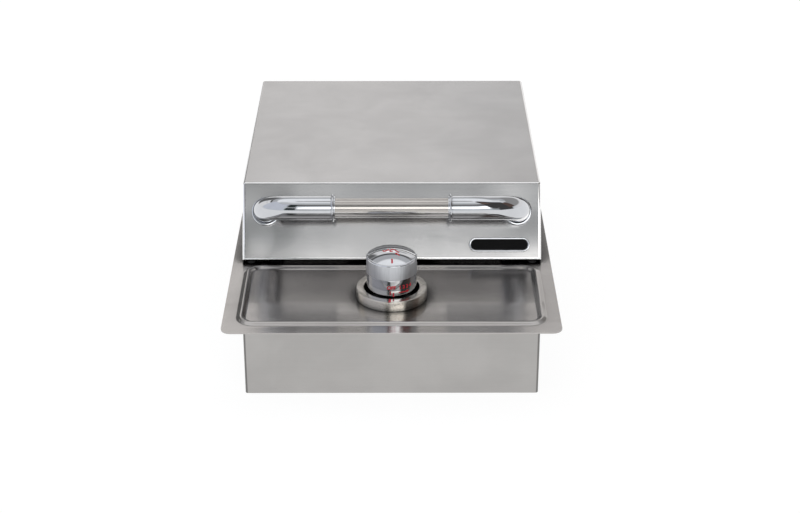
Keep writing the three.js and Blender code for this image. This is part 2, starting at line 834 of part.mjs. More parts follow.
function build_burner_base() {
  const inner_radius = burner_cup_radius - burner_cup_wall;
  const neck_top = burner_flange_top;
  const cup = turned([
    [0, burner_cup_bottom], [burner_cup_radius - burner_cup_wall, burner_cup_bottom],
    [burner_cup_radius, burner_cup_bottom + burner_cup_wall], [burner_cup_radius, burner_flange_bottom],
    [burner_flange_radius, burner_flange_bottom], [burner_flange_radius, neck_top],
    [head_bore_radius - running_gap, neck_top],
    [head_bore_radius - running_gap, neck_top + burner_neck_rise],
    [head_bore_radius - burner_cup_wall, neck_top + burner_neck_rise],
    [head_bore_radius - burner_cup_wall, burner_flange_bottom],
    [inner_radius, burner_flange_bottom - burner_cup_wall],
    [inner_radius, burner_cup_bottom + burner_cup_wall], [0, burner_cup_bottom + burner_cup_wall],
  ], hidden_sides).translate(0, burner_middle, 0);
  const cup_void = turned([
    [0, burner_cup_bottom + burner_cup_wall], [inner_radius, burner_cup_bottom + burner_cup_wall],
    [inner_radius, burner_flange_bottom - burner_cup_wall], [0, burner_flange_bottom - burner_cup_wall],
  ], hidden_sides).translate(0, burner_middle, 0);
  const ears = sides_of_part.map(([, side]) => join(
    rod('z', [side * burner_ear_place, burner_middle, burner_flange_bottom], burner_ear_radius,
      burner_flange_thickness, small_sides),
    block(
      [Math.min(side * burner_ear_place, side * inner_radius), burner_middle - burner_ear_radius,
        burner_flange_bottom],
      [Math.max(side * burner_ear_place, side * inner_radius), burner_middle + burner_ear_radius,
        burner_flange_top],
    ),
  ));
  const ear_holes = sides_of_part.map(([, side]) => rod('z',
    [side * burner_ear_place, burner_middle, burner_flange_bottom - overrun], burner_ear_hole_radius,
    burner_flange_thickness + 2 * overrun, tiny_sides));
  const tube_length = burner_middle - mixer_mouth;
  const tube = turned_along_y([
    [0, mixer_mouth], [mixer_radius, mixer_mouth], [mixer_radius, mixer_mouth + tube_length],
    [0, mixer_mouth + tube_length],
  ], hidden_sides).translate(0, 0, valve_axis_height);
  const bore = rod('y', [0, mixer_mouth - overrun, valve_axis_height], mixer_bore_radius,
    tube_length + overrun, hidden_sides);
  const window_y = mixer_mouth + air_window_setback;
  const windows = block(
    [-mixer_radius - overrun, window_y, valve_axis_height - air_window_width / 2],
    [mixer_radius + overrun, window_y + air_window_length, valve_axis_height + air_window_width / 2],
  );
  const spark_relief = rod('z', [...electrode_place(), burner_flange_bottom - overrun],
    electrode_radius + seat_gap, burner_flange_thickness + 2 * overrun, small_sides);
  const body = join(cup, tube, ...ears);
  add_piece('burner_base', cut(body, cup_void, bore, windows, spark_relief, ...ear_holes),
    materials.cast_aluminium);
}

function build_air_shutter() {
  const inner_radius = mixer_radius + running_gap;
  const outer_radius = inner_radius + shutter_wall;
  const start = mixer_mouth + shutter_setback;
  const sleeve = turned_along_y([
    [inner_radius, start], [outer_radius, start], [outer_radius, start + shutter_length],
    [inner_radius, start + shutter_length], [inner_radius, start],
  ], hidden_sides).translate(0, 0, valve_axis_height);
  const window_y = mixer_mouth + air_window_setback;
  const windows = block(
    [-outer_radius - overrun, window_y, valve_axis_height - air_window_width / 2],
    [outer_radius + overrun, window_y + air_window_length, valve_axis_height + air_window_width / 2],
  );
  const tab_bottom = valve_axis_height + inner_radius + shutter_wall / 2;
  const tab = block(
    [-shutter_tab_width / 2, start, tab_bottom],
    [shutter_tab_width / 2, start + shutter_tab_thickness, tab_bottom + shutter_tab_rise],
  );
  add_piece('air_shutter', cut(join(sleeve, tab), windows), materials.plated_steel);
}

function build_burner_head() {
  const ring = turned([
    [head_bore_radius, head_bottom], [head_radius, head_bottom],
    [head_radius, head_top - head_port_rise], [head_radius - head_port_rise / 2, head_top],
    [head_bore_radius, head_top], [head_bore_radius, head_bottom],
  ], fine_sides).translate(0, burner_middle, 0);
  const ports = [];
  for (let index = 0; index < head_port_count; index += 1) {
    const port = block(
      [head_bore_radius + head_port_width * 2, -head_port_width / 2, head_bottom + head_port_rise],
      [head_radius + overrun, head_port_width / 2, head_bottom + head_port_rise + head_port_height],
    );
    port.rotateZ((index + 1 / 2) * (2 * Math.PI / head_port_count));
    ports.push(port.translate(0, burner_middle, 0));
  }
  add_piece('burner_head', cut(ring, ...ports), materials.brass);
}

function build_burner_cap() {
  const bottom = head_top + seat_gap;
  const profile = [
    [0, bottom - cap_plug_depth], [cap_plug_radius, bottom - cap_plug_depth], [cap_plug_radius, bottom],
    [cap_radius, bottom],
  ];
  for (let step = 1; step <= arc_steps; step += 1) {
    const angle = (Math.PI / 2) * (step / arc_steps);
    profile.push([cap_radius * Math.cos(angle), bottom + cap_height * Math.sin(angle)]);
  }
  add_piece('burner_cap', turned(profile, hidden_sides).translate(0, burner_middle, 0),
    materials.black_enamel);
}

function build_burner_screws() {
  sides_of_part.forEach(([word, side]) => {
    const screw = pan_screw(burner_screw_head_radius, burner_screw_head_height, burner_screw_radius,
      burner_screw_length);
    screw.translate(side * burner_ear_place, burner_middle, burner_flange_top);
    add_piece(`burner_screw_${word}`, screw, materials.plated_steel);
  });
}

// Grate

function grate_finger(length) {
  const base = deck_top + grate_bar_top - grate_bar_height;
  const rise = grate_finger_top - grate_bar_top;
  const crown = finger_crown_shares.map(([along_share, up_share]) => (
    [length * along_share, deck_top + grate_bar_top + rise * up_share]));
  const outline = [...crown, [length, base + grate_bar_height / 2], [length - grate_bar, base], [0, base]];
  return slab(outline, 'y', -grate_finger_width / 2, grate_finger_width / 2);
}

function build_grate() {
  const top = deck_top + grate_bar_top;
  const bottom = top - grate_bar_height;
  const outer = rounded_outline(
    rectangle_corners(grate_width, grate_length, grate_corner_radius), corner_steps);
  const inner = rounded_outline(
    rectangle_corners(grate_width - 2 * grate_bar, grate_length - 2 * grate_bar,
      grate_corner_radius - grate_bar), corner_steps);
  const frame = slab(outer, 'z', bottom, top, [inner]);
  const fingers = [];
  const reaches = [
    [0, grate_width / 2], [Math.PI / 2, grate_length / 2],
    [Math.PI, grate_width / 2], [-Math.PI / 2, grate_length / 2],
  ];
  reaches.forEach(([angle, reach]) => {
    const finger = grate_finger(reach - grate_bar / 2 - grate_centre_radius);
    finger.rotateZ(Math.PI).translate(reach - grate_bar / 2, 0, 0);
    fingers.push(finger.rotateZ(angle));
  });
  const diagonal = Math.hypot(grate_width, grate_length) / 2;
  const corner_cut = grate_corner_radius * (Math.SQRT2 - 1) + grate_bar / 2;
  const slant = Math.atan2(grate_length, grate_width);
  [slant, Math.PI - slant, Math.PI + slant, -slant].forEach((angle) => {
    const reach = diagonal - corner_cut;
    const finger = grate_finger(reach - grate_centre_radius);
    fingers.push(finger.rotateZ(Math.PI).translate(reach, 0, 0).rotateZ(angle));
  });
  const foot_height = bottom - bowl_floor + grate_bar_height / 2;
  const feet = [-1, 1].flatMap((side) => [-1, 1].map((end) => rod(
    'z',
    [side * (grate_width / 2 - grate_foot_inset), end * (grate_length / 2 - grate_foot_inset
      - grate_corner_radius), bowl_floor],
    grate_foot_radius * grate_foot_taper_share,
    foot_height,
    small_sides,
    grate_foot_radius,
  )));
  add_piece('pot_grate', join(frame, ...fingers, ...feet).translate(0, burner_middle, 0),
    materials.cast_iron);
}

// Heat baffle, a folded plate that keeps the burner's heat from the controls

function build_baffle() {
  const y = baffle_back;
  const half = box_inner_half - box_sheet - 3 * seat_gap;
  const plate = block([-half, y - baffle_sheet, box_sheet], [half, y, deck_bottom - baffle_top_gap]);
  const foot = block([-half, y - baffle_foot, box_sheet], [half, y, box_sheet + baffle_sheet]);
  const through = (x, z, radius) => rod('y', [x, y - baffle_sheet - overrun, z], radius,
    baffle_sheet + 2 * overrun, small_sides);
  const holes = [
    through(0, valve_axis_height, mixer_radius + baffle_hole_gap),
    through(-pipe_offset, valve_axis_height, pipe_radius + baffle_hole_gap),
    through(lead_hole_place.x, lead_hole_place.z, lead_radius + baffle_hole_gap),
  ];
  add_piece('heat_baffle', cut(join(plate, foot), ...holes), materials.plated_steel);
}

// Gas valve

function build_valve_body() {
  const barrel = rod('z', [0, 0, valve_floor], valve_barrel_radius, valve_barrel_top - valve_floor,
    hidden_sides);
  const lug_bottom = valve_barrel_top - valve_lug_thickness;
  const lugs = join(
    block([-valve_screw_spacing / 2, -valve_lug_radius, lug_bottom],
      [valve_screw_spacing / 2, valve_lug_radius, valve_barrel_top]),
    ...sides_of_part.map(([, side]) => rod('z', [side * valve_screw_spacing / 2, 0, lug_bottom],
      valve_lug_radius, valve_lug_thickness, small_sides)),
  );
  const inlet = rod('x', [-valve_inlet_reach, 0, valve_axis_height], valve_boss_radius, valve_inlet_reach,
    hidden_sides);
  const outlet = rod('y', [0, 0, valve_axis_height], valve_boss_radius, valve_outlet_reach, hidden_sides);
  const taper_bore = rod('z', [0, 0, plug_bottom_height - running_gap], plug_bottom_radius + running_gap,
    plug_top_height - plug_bottom_height + running_gap, hidden_sides, plug_top_radius + running_gap);
  const mouth = rod('z', [0, 0, plug_top_height - running_gap], plug_top_radius + running_gap,
    valve_barrel_top - plug_top_height + overrun, hidden_sides);
  const inlet_bore = rod('x', [-valve_inlet_reach - overrun, 0, valve_axis_height], valve_port_radius,
    valve_inlet_depth + overrun, small_sides);
  const inlet_port = rod('x', [-valve_inlet_reach, 0, valve_axis_height], valve_passage_radius,
    valve_inlet_reach, small_sides);
  const outlet_port = rod('y', [0, 0, valve_axis_height], valve_passage_radius,
    valve_outlet_reach + overrun, small_sides);
  const jet_socket = rod('y', [0, valve_outlet_reach - jet_shank_length - running_gap, valve_axis_height],
    jet_shank_radius + running_gap, jet_shank_length + running_gap + overrun, small_sides);
  const screw_holes = sides_of_part.map(([, side]) => rod('z',
    [side * valve_screw_spacing / 2, 0, lug_bottom - overrun], valve_screw_radius + running_gap,
    valve_lug_thickness + 2 * overrun, tiny_sides));
  const body = cut(join(barrel, lugs, inlet, outlet), taper_bore, mouth, inlet_bore, inlet_port,
    outlet_port, jet_socket, ...screw_holes);
  add_piece('valve_body', body.translate(0, knob_middle, 0), materials.brass);
}

function build_valve_plug() {
  const cone = rod('z', [0, 0, plug_bottom_height], plug_bottom_radius,
    plug_top_height - plug_bottom_height, hidden_sides, plug_top_radius);
  const slot = block(
    [-stem_tang_width / 2 - running_gap, -stem_radius - running_gap, plug_slot_floor],
    [stem_tang_width / 2 + running_gap, stem_radius + running_gap, plug_top_height + overrun],
  );
  const port = rod('y', [0, -overrun, valve_axis_height], valve_passage_radius,
    plug_top_radius + 2 * overrun, small_sides);
  add_piece('valve_plug', cut(cone, slot, port).translate(0, knob_middle, 0), materials.brass);
}

function build_bonnet() {
  const bottom = valve_barrel_top + seat_gap;
  const plate = join(
    block([-valve_screw_spacing / 2, -valve_lug_radius, bottom],
      [valve_screw_spacing / 2, valve_lug_radius, bottom + bonnet_thickness]),
    rod('z', [0, 0, bottom], valve_barrel_radius, bonnet_thickness, hidden_sides),
    ...sides_of_part.map(([, side]) => rod('z', [side * valve_screw_spacing / 2, 0, bottom],
      valve_lug_radius, bonnet_thickness, small_sides)),
    rod('z', [0, 0, bottom], bonnet_turret_radius, bonnet_top - bottom, hidden_sides),
  );
  const stem_bore = rod('z', [0, 0, bottom - overrun], stem_radius + running_gap,
    bonnet_top - bottom + 2 * overrun, hidden_sides);
  const screw_holes = sides_of_part.map(([, side]) => rod('z',
    [side * valve_screw_spacing / 2, 0, bottom - overrun], valve_screw_radius + running_gap,
    bonnet_thickness + 2 * overrun, tiny_sides));
  add_piece('valve_bonnet', cut(plate, stem_bore, ...screw_holes).translate(0, knob_middle, 0),
    materials.plated_steel);
}

// Hat-shaped strap that hangs the valve from the deck
function build_valve_bracket() {
  const top = deck_bottom;
  const leg = bracket_half_width;
  const tab_end = leg + bracket_tab;
  const outline = [
    [-tab_end, top], [-leg, top], [-leg, bracket_level + bracket_sheet],
    [leg, bracket_level + bracket_sheet], [leg, top], [tab_end, top],
    [tab_end, top - bracket_sheet], [leg + bracket_sheet, top - bracket_sheet],
    [leg + bracket_sheet, bracket_level], [-leg - bracket_sheet, bracket_level],
    [-leg - bracket_sheet, top - bracket_sheet], [-tab_end, top - bracket_sheet],
  ];
  const strap = slab(outline, 'y', knob_middle - bracket_depth / 2, knob_middle + bracket_depth / 2);
  const turret_hole = rod('z', [0, knob_middle, bracket_level - overrun],
    bonnet_turret_radius + seat_gap, bracket_sheet + 2 * overrun, hidden_sides);
  const upright_hole = (x, z, radius) => rod('z', [x, knob_middle, z - overrun], radius + running_gap,
    bracket_sheet + 2 * overrun, tiny_sides);
  const holes = sides_of_part.flatMap(([, side]) => [
    upright_hole(side * valve_screw_spacing / 2, bracket_level, valve_screw_radius),
    upright_hole(side * ring_screw_circle, top - bracket_sheet, ring_screw_radius),
  ]);
  add_piece('valve_bracket', cut(strap, turret_hole, ...holes), materials.plated_steel);
}

// Pan-head screw standing on a surface, its shank going down
function pan_screw(head_radius, head_height, shank_radius, shank_length) {
  const head = turned([
    [0, head_height], [head_radius * pan_flat_share, head_height], [head_radius, head_height / 2],
    [head_radius, 0], [0, 0],
  ], small_sides);
  const shank = rod('z', [0, 0, -shank_length], shank_radius, shank_length + head_height / 2, tiny_sides);
  return join(head, shank);
}
const pan_flat_share = 0.6;

function build_valve_screws() {
  sides_of_part.forEach(([word, side]) => {
    const screw = pan_screw(valve_screw_head_radius, valve_screw_head_height, valve_screw_radius,
      bracket_sheet + bonnet_thickness + valve_lug_thickness);
    screw.translate(side * valve_screw_spacing / 2, knob_middle, bracket_level + bracket_sheet);
    add_piece(`valve_screw_${word}`, screw, materials.plated_steel);
  });
}

function build_jet() {
  const start = jet_start;
  const shank = rod('y', [0, start - jet_shank_length, valve_axis_height], jet_shank_radius,
    jet_shank_length + seat_gap, small_sides);
  const hex = rod('y', [0, start + seat_gap, valve_axis_height], jet_hex_radius, jet_hex_length, hex_sides);
  const nose = rod('y', [0, start + seat_gap + jet_hex_length, valve_axis_height], jet_nose_radius,
    jet_nose_length, small_sides, jet_nose_radius / 2);
  const length = jet_shank_length + jet_end - jet_start;
  const bore = rod('y', [0, start - jet_shank_length - overrun, valve_axis_height], jet_bore_radius,
    length + 2 * overrun, tiny_sides);
  const chamber = rod('y', [0, start - jet_shank_length - overrun, valve_axis_height],
    valve_passage_radius, overrun + jet_shank_length + jet_hex_length / 2, small_sides);
  add_piece('gas_jet', cut(join(shank, hex, nose), chamber, bore), materials.brass);
}

// Stem, collar and spring

function build_stem() {
  const shaft = rod('z', [0, 0, tang_bottom], stem_radius, stem_top - tang_bottom, hidden_sides);
  const cheek = (side) => block(
    [Math.min(side * stem_tang_width / 2, side * (stem_radius + overrun)), -stem_radius - overrun,
      tang_bottom - overrun],
    [Math.max(side * stem_tang_width / 2, side * (stem_radius + overrun)), stem_radius + overrun,
      tang_top],
  );
  const flat = block(
    [-stem_radius - overrun, stem_radius - stem_flat_depth, stem_top - stem_flat_length],
    [stem_radius + overrun, stem_radius + overrun, stem_top + overrun],
  );
  const collar = rod('z', [0, 0, collar_bottom], stem_collar_radius, stem_collar_thickness, hidden_sides);
  add_piece('valve_stem', cut(join(shaft, collar), cheek(-1), cheek(1), flat).translate(0, knob_middle, 0),
    materials.plated_steel);
}

function build_stem_spring() {
  const bottom = bonnet_top + seat_gap + spring_wire_radius;
  const top = collar_bottom - seat_gap - spring_wire_radius;
  const path = new Coil(new THREE.Vector3(0, knob_middle, bottom), spring_coil_radius, top - bottom,
    spring_turn_count);
  const steps = Math.round(spring_turn_count * coil_steps);
  add_piece('stem_spring', tube_along(path, spring_wire_radius, hex_sides, steps), materials.plated_steel);
}

// Knob, its hub, the ring round it and the seal below

function build_knob() {
  const crown_radius = (knob_radius ** 2 + knob_crown ** 2) / (2 * knob_crown);
  const crown_centre = knob_rim + knob_crown - crown_radius;
  const profile = [
    [knob_radius - knob_wall, knob_inner_top], [knob_radius - knob_wall, knob_bottom],
    [knob_radius, knob_bottom],
  ];
  for (let step = 0; step <= bend_steps; step += 1) {
    const angle = (Math.PI / 2) * (step / bend_steps);
    profile.push([
      knob_radius - knob_edge_radius * (1 - Math.cos(angle)),
      knob_rim - knob_edge_radius * (1 - Math.sin(angle)),
    ]);
  }
  for (let step = arc_steps - 1; step >= 0; step -= 1) {
    const radius = (knob_radius - knob_edge_radius) * (step / arc_steps);
    profile.push([radius, crown_centre + Math.sqrt(crown_radius ** 2 - radius ** 2)]);
  }
  profile.push([0, knob_inner_top]);
  profile.push([knob_radius - knob_wall, knob_inner_top]);
  add_piece('knob_shell', turned(profile, fine_sides).translate(0, knob_middle, 0), materials.chrome);
}

function build_knob_hub() {
  const disc_top = knob_inner_top - seat_gap;
  const disc_bottom = knob_rim - hub_disc_drop;
  const disc = rod('z', [0, 0, disc_bottom], knob_radius - knob_wall - seat_gap, hub_disc_thickness,
    hidden_sides);
  const barrel = rod('z', [0, 0, hub_barrel_bottom], hub_barrel_radius,
    disc_top - hub_barrel_bottom, hidden_sides);
  const ribs = [0, 1].map((turn) => block(
    [-knob_radius + knob_wall + seat_gap * 3, -stem_tang_width / 2, disc_bottom],
    [knob_radius - knob_wall - seat_gap * 3, stem_tang_width / 2, disc_top],
  ).rotateZ(turn * Math.PI / 2));
  const round_bore = rod('z', [0, 0, deck_top], stem_radius + running_gap, stem_top + seat_gap - deck_top,
    hidden_sides);
  const flat_keep = block(
    [-stem_radius - overrun, stem_radius - stem_flat_depth + running_gap,
      stem_top - stem_flat_length + stem_flat_step],
    [stem_radius + overrun, stem_radius + overrun, stem_top + overrun],
  );
  const hub = cut(join(disc, barrel, ...ribs), cut(round_bore, flat_keep));
  add_piece('knob_hub', hub.translate(0, knob_middle, 0), materials.black_plastic);
}

function build_knob_ring() {
  const top = deck_top + ring_rise;
  const ring = turned([
    [ring_inner_radius, deck_top], [ring_outer_radius, deck_top],
    [ring_outer_radius, top - ring_chamfer], [ring_outer_radius - ring_chamfer, top],
    [ring_inner_radius + ring_chamfer, top], [ring_inner_radius, top - ring_chamfer],
    [ring_inner_radius, deck_top],
  ], fine_sides).translate(0, knob_middle, 0);
  const holes = sides_of_part.map(([, side]) => rod('z',
    [side * ring_screw_circle, knob_middle, deck_top - overrun], ring_screw_radius + running_gap,
    ring_screw_bite + 2 * overrun - running_gap, tiny_sides));
  add_piece('knob_ring', cut(ring, ...holes), materials.turned_steel);
  sides_of_part.forEach(([word, side]) => {
    const screw = pan_screw(ring_screw_head_radius, ring_screw_head_height, ring_screw_radius,
      bracket_sheet + deck_sheet + ring_screw_bite);
    screw.rotateX(Math.PI);
    screw.translate(side * ring_screw_circle, knob_middle, deck_bottom - bracket_sheet);
    add_piece(`ring_screw_${word}`, screw, materials.plated_steel);
  });
}

function build_grommet() {
  const body = turned([
    [stem_radius + running_gap, deck_bottom - grommet_height / 2],
    [grommet_groove_radius - running_gap, deck_bottom - grommet_height / 2],
    [grommet_groove_radius - running_gap, deck_top], [grommet_radius, deck_top],
    [grommet_radius, deck_top + grommet_height / 2], [hub_barrel_radius, deck_top + grommet_height],
    [stem_radius + running_gap, deck_top + grommet_height],
    [stem_radius + running_gap, deck_bottom - grommet_height / 2],
  ], hidden_sides);
  add_piece('stem_grommet', body.translate(0, knob_middle, 0), materials.rubber);
}

// Gas pipe, nuts and the inlet through the back of the box

function build_gas_line() {
  const level = valve_axis_height;
  const nut_start = -valve_inlet_reach - seat_gap;
  const pipe_end = box_back - box_sheet - seat_gap - inlet_hex_length - seat_gap;
  const path = new BentPath([
    new THREE.Vector3(nut_start - seat_gap, knob_middle, level),
    new THREE.Vector3(-pipe_offset, knob_middle, level),
    new THREE.Vector3(-pipe_offset, pipe_end, level),
  ], pipe_bend_radius);
  add_piece('gas_pipe', tube_along(path, pipe_radius, small_sides), materials.pipe_aluminium);

  const nut = rod('x', [nut_start - flare_nut_length, knob_middle, level], flare_nut_radius,
    flare_nut_length, hex_sides);
  const nut_bore = rod('x', [nut_start - flare_nut_length - overrun, knob_middle, level],
    pipe_radius + seat_gap, flare_nut_length + 2 * overrun, small_sides);
  add_piece('flare_nut', cut(nut, nut_bore), materials.brass);

  const wall_front = box_back - box_sheet - seat_gap;
  const hex = rod('y', [-pipe_offset, wall_front - inlet_hex_length, level], inlet_hex_radius,
    inlet_hex_length, hex_sides);
  const thread = rod('y', [-pipe_offset, wall_front - inlet_hex_length, level], inlet_thread_radius,
    inlet_hex_length + box_sheet + seat_gap + inlet_outside_length, hidden_sides);
  const nose = rod('y', [-pipe_offset, box_back + inlet_outside_length, level], inlet_thread_radius,
    inlet_nose_length, hidden_sides, inlet_nose_radius);
  const bore = rod('y', [-pipe_offset, wall_front - inlet_hex_length - overrun, level], inlet_bore_radius,
    inlet_hex_length + inlet_outside_length + box_sheet + 4 * overrun, small_sides);
  add_piece('inlet_fitting', cut(join(hex, thread, nose), bore), materials.brass);

  const locknut = rod('y', [-pipe_offset, box_back + seat_gap, level], locknut_radius, locknut_height,
    hex_sides);
  const locknut_bore = rod('y', [-pipe_offset, box_back, level], inlet_thread_radius + seat_gap,
    locknut_height + overrun, hidden_sides);
  add_piece('inlet_locknut', cut(locknut, locknut_bore), materials.plated_steel);
}

// Spark unit, lead and electrode

const spark_unit_left = valve_barrel_radius + seat_gap;
const spark_unit_bottom = valve_axis_height - spark_unit_height / 4;
const lead_start = new THREE.Vector3(
  spark_unit_left + spark_unit_width / 2,
  knob_middle + spark_unit_depth / 2 + spark_nipple_length + seat_gap,
  spark_unit_bottom + spark_unit_height / 4,
);
const [spark_place_x, spark_place_y] = electrode_place();
const lead_end = new THREE.Vector3(spark_place_x, spark_place_y, electrode_bottom - seat_gap);
const lead_route = lead_route_shares.map(([across_share, along_share, down_share]) => new THREE.Vector3(
  lead_bow * across_share,
  THREE.MathUtils.lerp(lead_start.y, lead_end.y, along_share),
  valve_axis_height - lead_sag * down_share,
));
const lead_hole_place = lead_route[lead_hole_index];
const lead_points = [
  lead_start,
  lead_start.clone().setY(lead_start.y + lead_straight),
  ...lead_route,
  lead_end.clone().setZ(lead_end.z - lead_straight),
  lead_end,
];

function build_spark_parts() {
  const corners = rectangle_corners(spark_unit_width, spark_unit_depth, spark_unit_corner,
    spark_unit_left + spark_unit_width / 2, knob_middle);
  const unit = slab(rounded_outline(corners, bend_steps), 'z', spark_unit_bottom,
    spark_unit_bottom + spark_unit_height);
  const nipple = rod('y', [lead_start.x, knob_middle, lead_start.z], spark_nipple_radius,
    spark_unit_depth / 2 + spark_nipple_length, small_sides);
  const lug_space = block(
    [0, knob_middle - valve_lug_radius - seat_gap, valve_barrel_top - valve_lug_thickness - seat_gap],
    [valve_screw_spacing / 2 + valve_lug_radius + seat_gap, knob_middle + valve_lug_radius + seat_gap,
      valve_barrel_top + overrun],
  );
  add_piece('spark_unit', cut(join(unit, nipple), lug_space), materials.black_plastic);

  const route = new THREE.CatmullRomCurve3(lead_points);
  add_piece('spark_lead', tube_along(route, lead_radius, tiny_sides, lead_steps), materials.lead_sleeve);

  const [x, y] = electrode_place();
  const collar_top_level = bowl_underside - seat_gap;
  const insulator = turned([
    [0, electrode_bottom], [electrode_radius, electrode_bottom],
    [electrode_radius, collar_top_level - electrode_collar_height],
    [electrode_collar_radius, collar_top_level - electrode_collar_height],
    [electrode_collar_radius, collar_top_level], [electrode_radius, collar_top_level],
    [electrode_radius, electrode_top - electrode_radius / 2], [electrode_radius / 2, electrode_top],
    [0, electrode_top],
  ], small_sides).translate(x, y, 0);
  add_piece('spark_electrode', insulator, materials.ceramic);

  const inward = new THREE.Vector3(-Math.cos(electrode_angle), -Math.sin(electrode_angle), 0);
  const wire_start = new THREE.Vector3(x, y, electrode_top + seat_gap);
  const wire_corner = wire_start.clone().setZ(wire_start.z + electrode_wire_rise);
  const wire_end = wire_corner.clone().addScaledVector(inward, electrode_wire_reach);
  const wire = new BentPath([wire_start, wire_corner, wire_end], electrode_wire_bend);
  add_piece('electrode_tip', tube_along(wire, electrode_wire_radius, hex_sides), materials.plated_steel);
}

// Lid

// Side view of the lid's outside or inside, drawn in Y and Z
function lid_side_view(inset, bottom, bend_radius, face_bottom_radius) {
  const slope = Math.tan(lid_face_tilt);
  const face_inset = inset / Math.cos(lid_face_tilt);
  const front_at = (height) => lid_front + face_inset + (height - lid_bottom) * slope;
  const top = lid_top - inset;
  return [
    [lid_back - inset, bottom, 0], [lid_back - inset, top, bend_radius],
    [front_at(top), top, bend_radius], [front_at(bottom), bottom, face_bottom_radius],
  ];
}

// Side view swept across the lid, with its side edges rounded like the folds
function lid_core(inset, bottom, half_width, edge_radius) {
  const rings = [];
  const add_ring = (side, angle) => {
    const drop = edge_radius * (1 - Math.sin(angle));
    const x = side * (half_width - edge_radius * (1 - Math.cos(angle)));
    const bend = Math.max(edge_radius - drop, keen_radius);
    const outline = rounded_outline(lid_side_view(inset + drop, bottom, bend, 0), bend_steps);
    rings.push(outline.map((point) => [x, point.x, point.y]));
  };
  for (let step = 0; step <= bend_steps; step += 1) add_ring(-1, (Math.PI / 2) * (step / bend_steps));
  for (let step = bend_steps; step >= 0; step -= 1) add_ring(1, (Math.PI / 2) * (step / bend_steps));
  return loft(rings);
}

function lid_face_hole(x, up, radius) {
  const hole = rod('z', [x, up, -lid_sheet - overrun], radius, lid_sheet + 2 * overrun, tiny_sides);
  return place_on_face(hole);
}

function build_lid_shell() {
  const below = lid_bottom - 2 * lid_bend_radius;
  const outer_half = lid_width / 2;
  const outer = common(
    lid_core(0, below - lid_bend_radius, outer_half, lid_bend_radius),
    slab(rounded_outline(lid_side_view(0, lid_bottom, lid_bend_radius, lid_lip_radius), bend_steps), 'x',
      -outer_half - overrun, outer_half + overrun),
  );
  const inner_bend = lid_bend_radius - lid_sheet;
  const lip_top = lid_bottom + lid_sheet;
  const inner_view = lid_side_view(lid_sheet, lip_top, inner_bend, lid_lip_radius - lid_sheet);
  const lip_end = lid_front + lid_lip;
  const hollow_view = [
    [lid_back - lid_sheet, below - overrun, 0], inner_view[1], inner_view[2], inner_view[3],
    [lip_end, lip_top, 0], [lip_end, below - overrun, 0],
  ];
  const hollow = common(
    lid_core(lid_sheet, below - lid_bend_radius, lid_inner_half, inner_bend),
    slab(rounded_outline(hollow_view, bend_steps), 'x', -lid_inner_half - overrun,
      lid_inner_half + overrun),
  );
  const full = outer_half + overrun;
  const back_corner = block([-full, hinge_middle, below], [full, lid_back + overrun, hinge_level]);
  const swing = rod('x', [-full, hinge_middle, hinge_level], hinge_swing_radius, 2 * full, fine_sides);
  const back_gap = block(
    [-lid_inner_half + lid_sheet, hinge_middle + hinge_swing_radius / 2, below],
    [lid_inner_half - lid_sheet, lid_back + overrun, hinge_level],
  );
  const notches = sides_of_part.map(([, side]) => {
    const outer_x = side * (lid_inner_half - lid_sheet);
    const inner_x = side * (lid_inner_half - hinge_notch_width);
    const corners = [
      [inner_x, hinge_level - overrun, 0], [outer_x, hinge_level - overrun, 0],
      [outer_x, hinge_level + hinge_notch_rise, 0],
      [inner_x, hinge_level + hinge_notch_rise, hinge_notch_radius],
    ];
    return slab(rounded_outline(corners, bend_steps), 'y', lid_back - lid_sheet - overrun,
      lid_back + overrun);
  });
  const pin_holes = rod('x', [-full, hinge_middle, hinge_level], hinge_pin_radius + running_gap, 2 * full,
    round_sides);
  const bolt_holes = sides_of_part.map(([, side]) => lid_face_hole(side * handle_leg_spacing / 2,
    -handle_drop, handle_bolt_radius + running_gap));
  const badge_holes = [-1, 1].map((side) => lid_face_hole(badge_offset + side * badge_pin_spacing / 2,
    -badge_drop, badge_pin_radius + running_gap));
  const shell = cut(outer, hollow, cut(back_corner, swing), back_gap, ...notches, pin_holes,
    ...bolt_holes, ...badge_holes);
  add_piece('lid_shell', shell, materials.lid_steel);
}

// The lid's face as a frame: X to the right, Y up the face from the crease, Z out of it
const face_turn = Math.PI / 2 - lid_face_tilt;

function place_on_face(geometry) {
  return geometry.rotateX(face_turn).translate(0, lid_crease, lid_top);
}

const face_group = new THREE.Group();
face_group.position.set(0, lid_crease, lid_top);
face_group.rotation.x = face_turn;
model.add(face_group);

// Handle

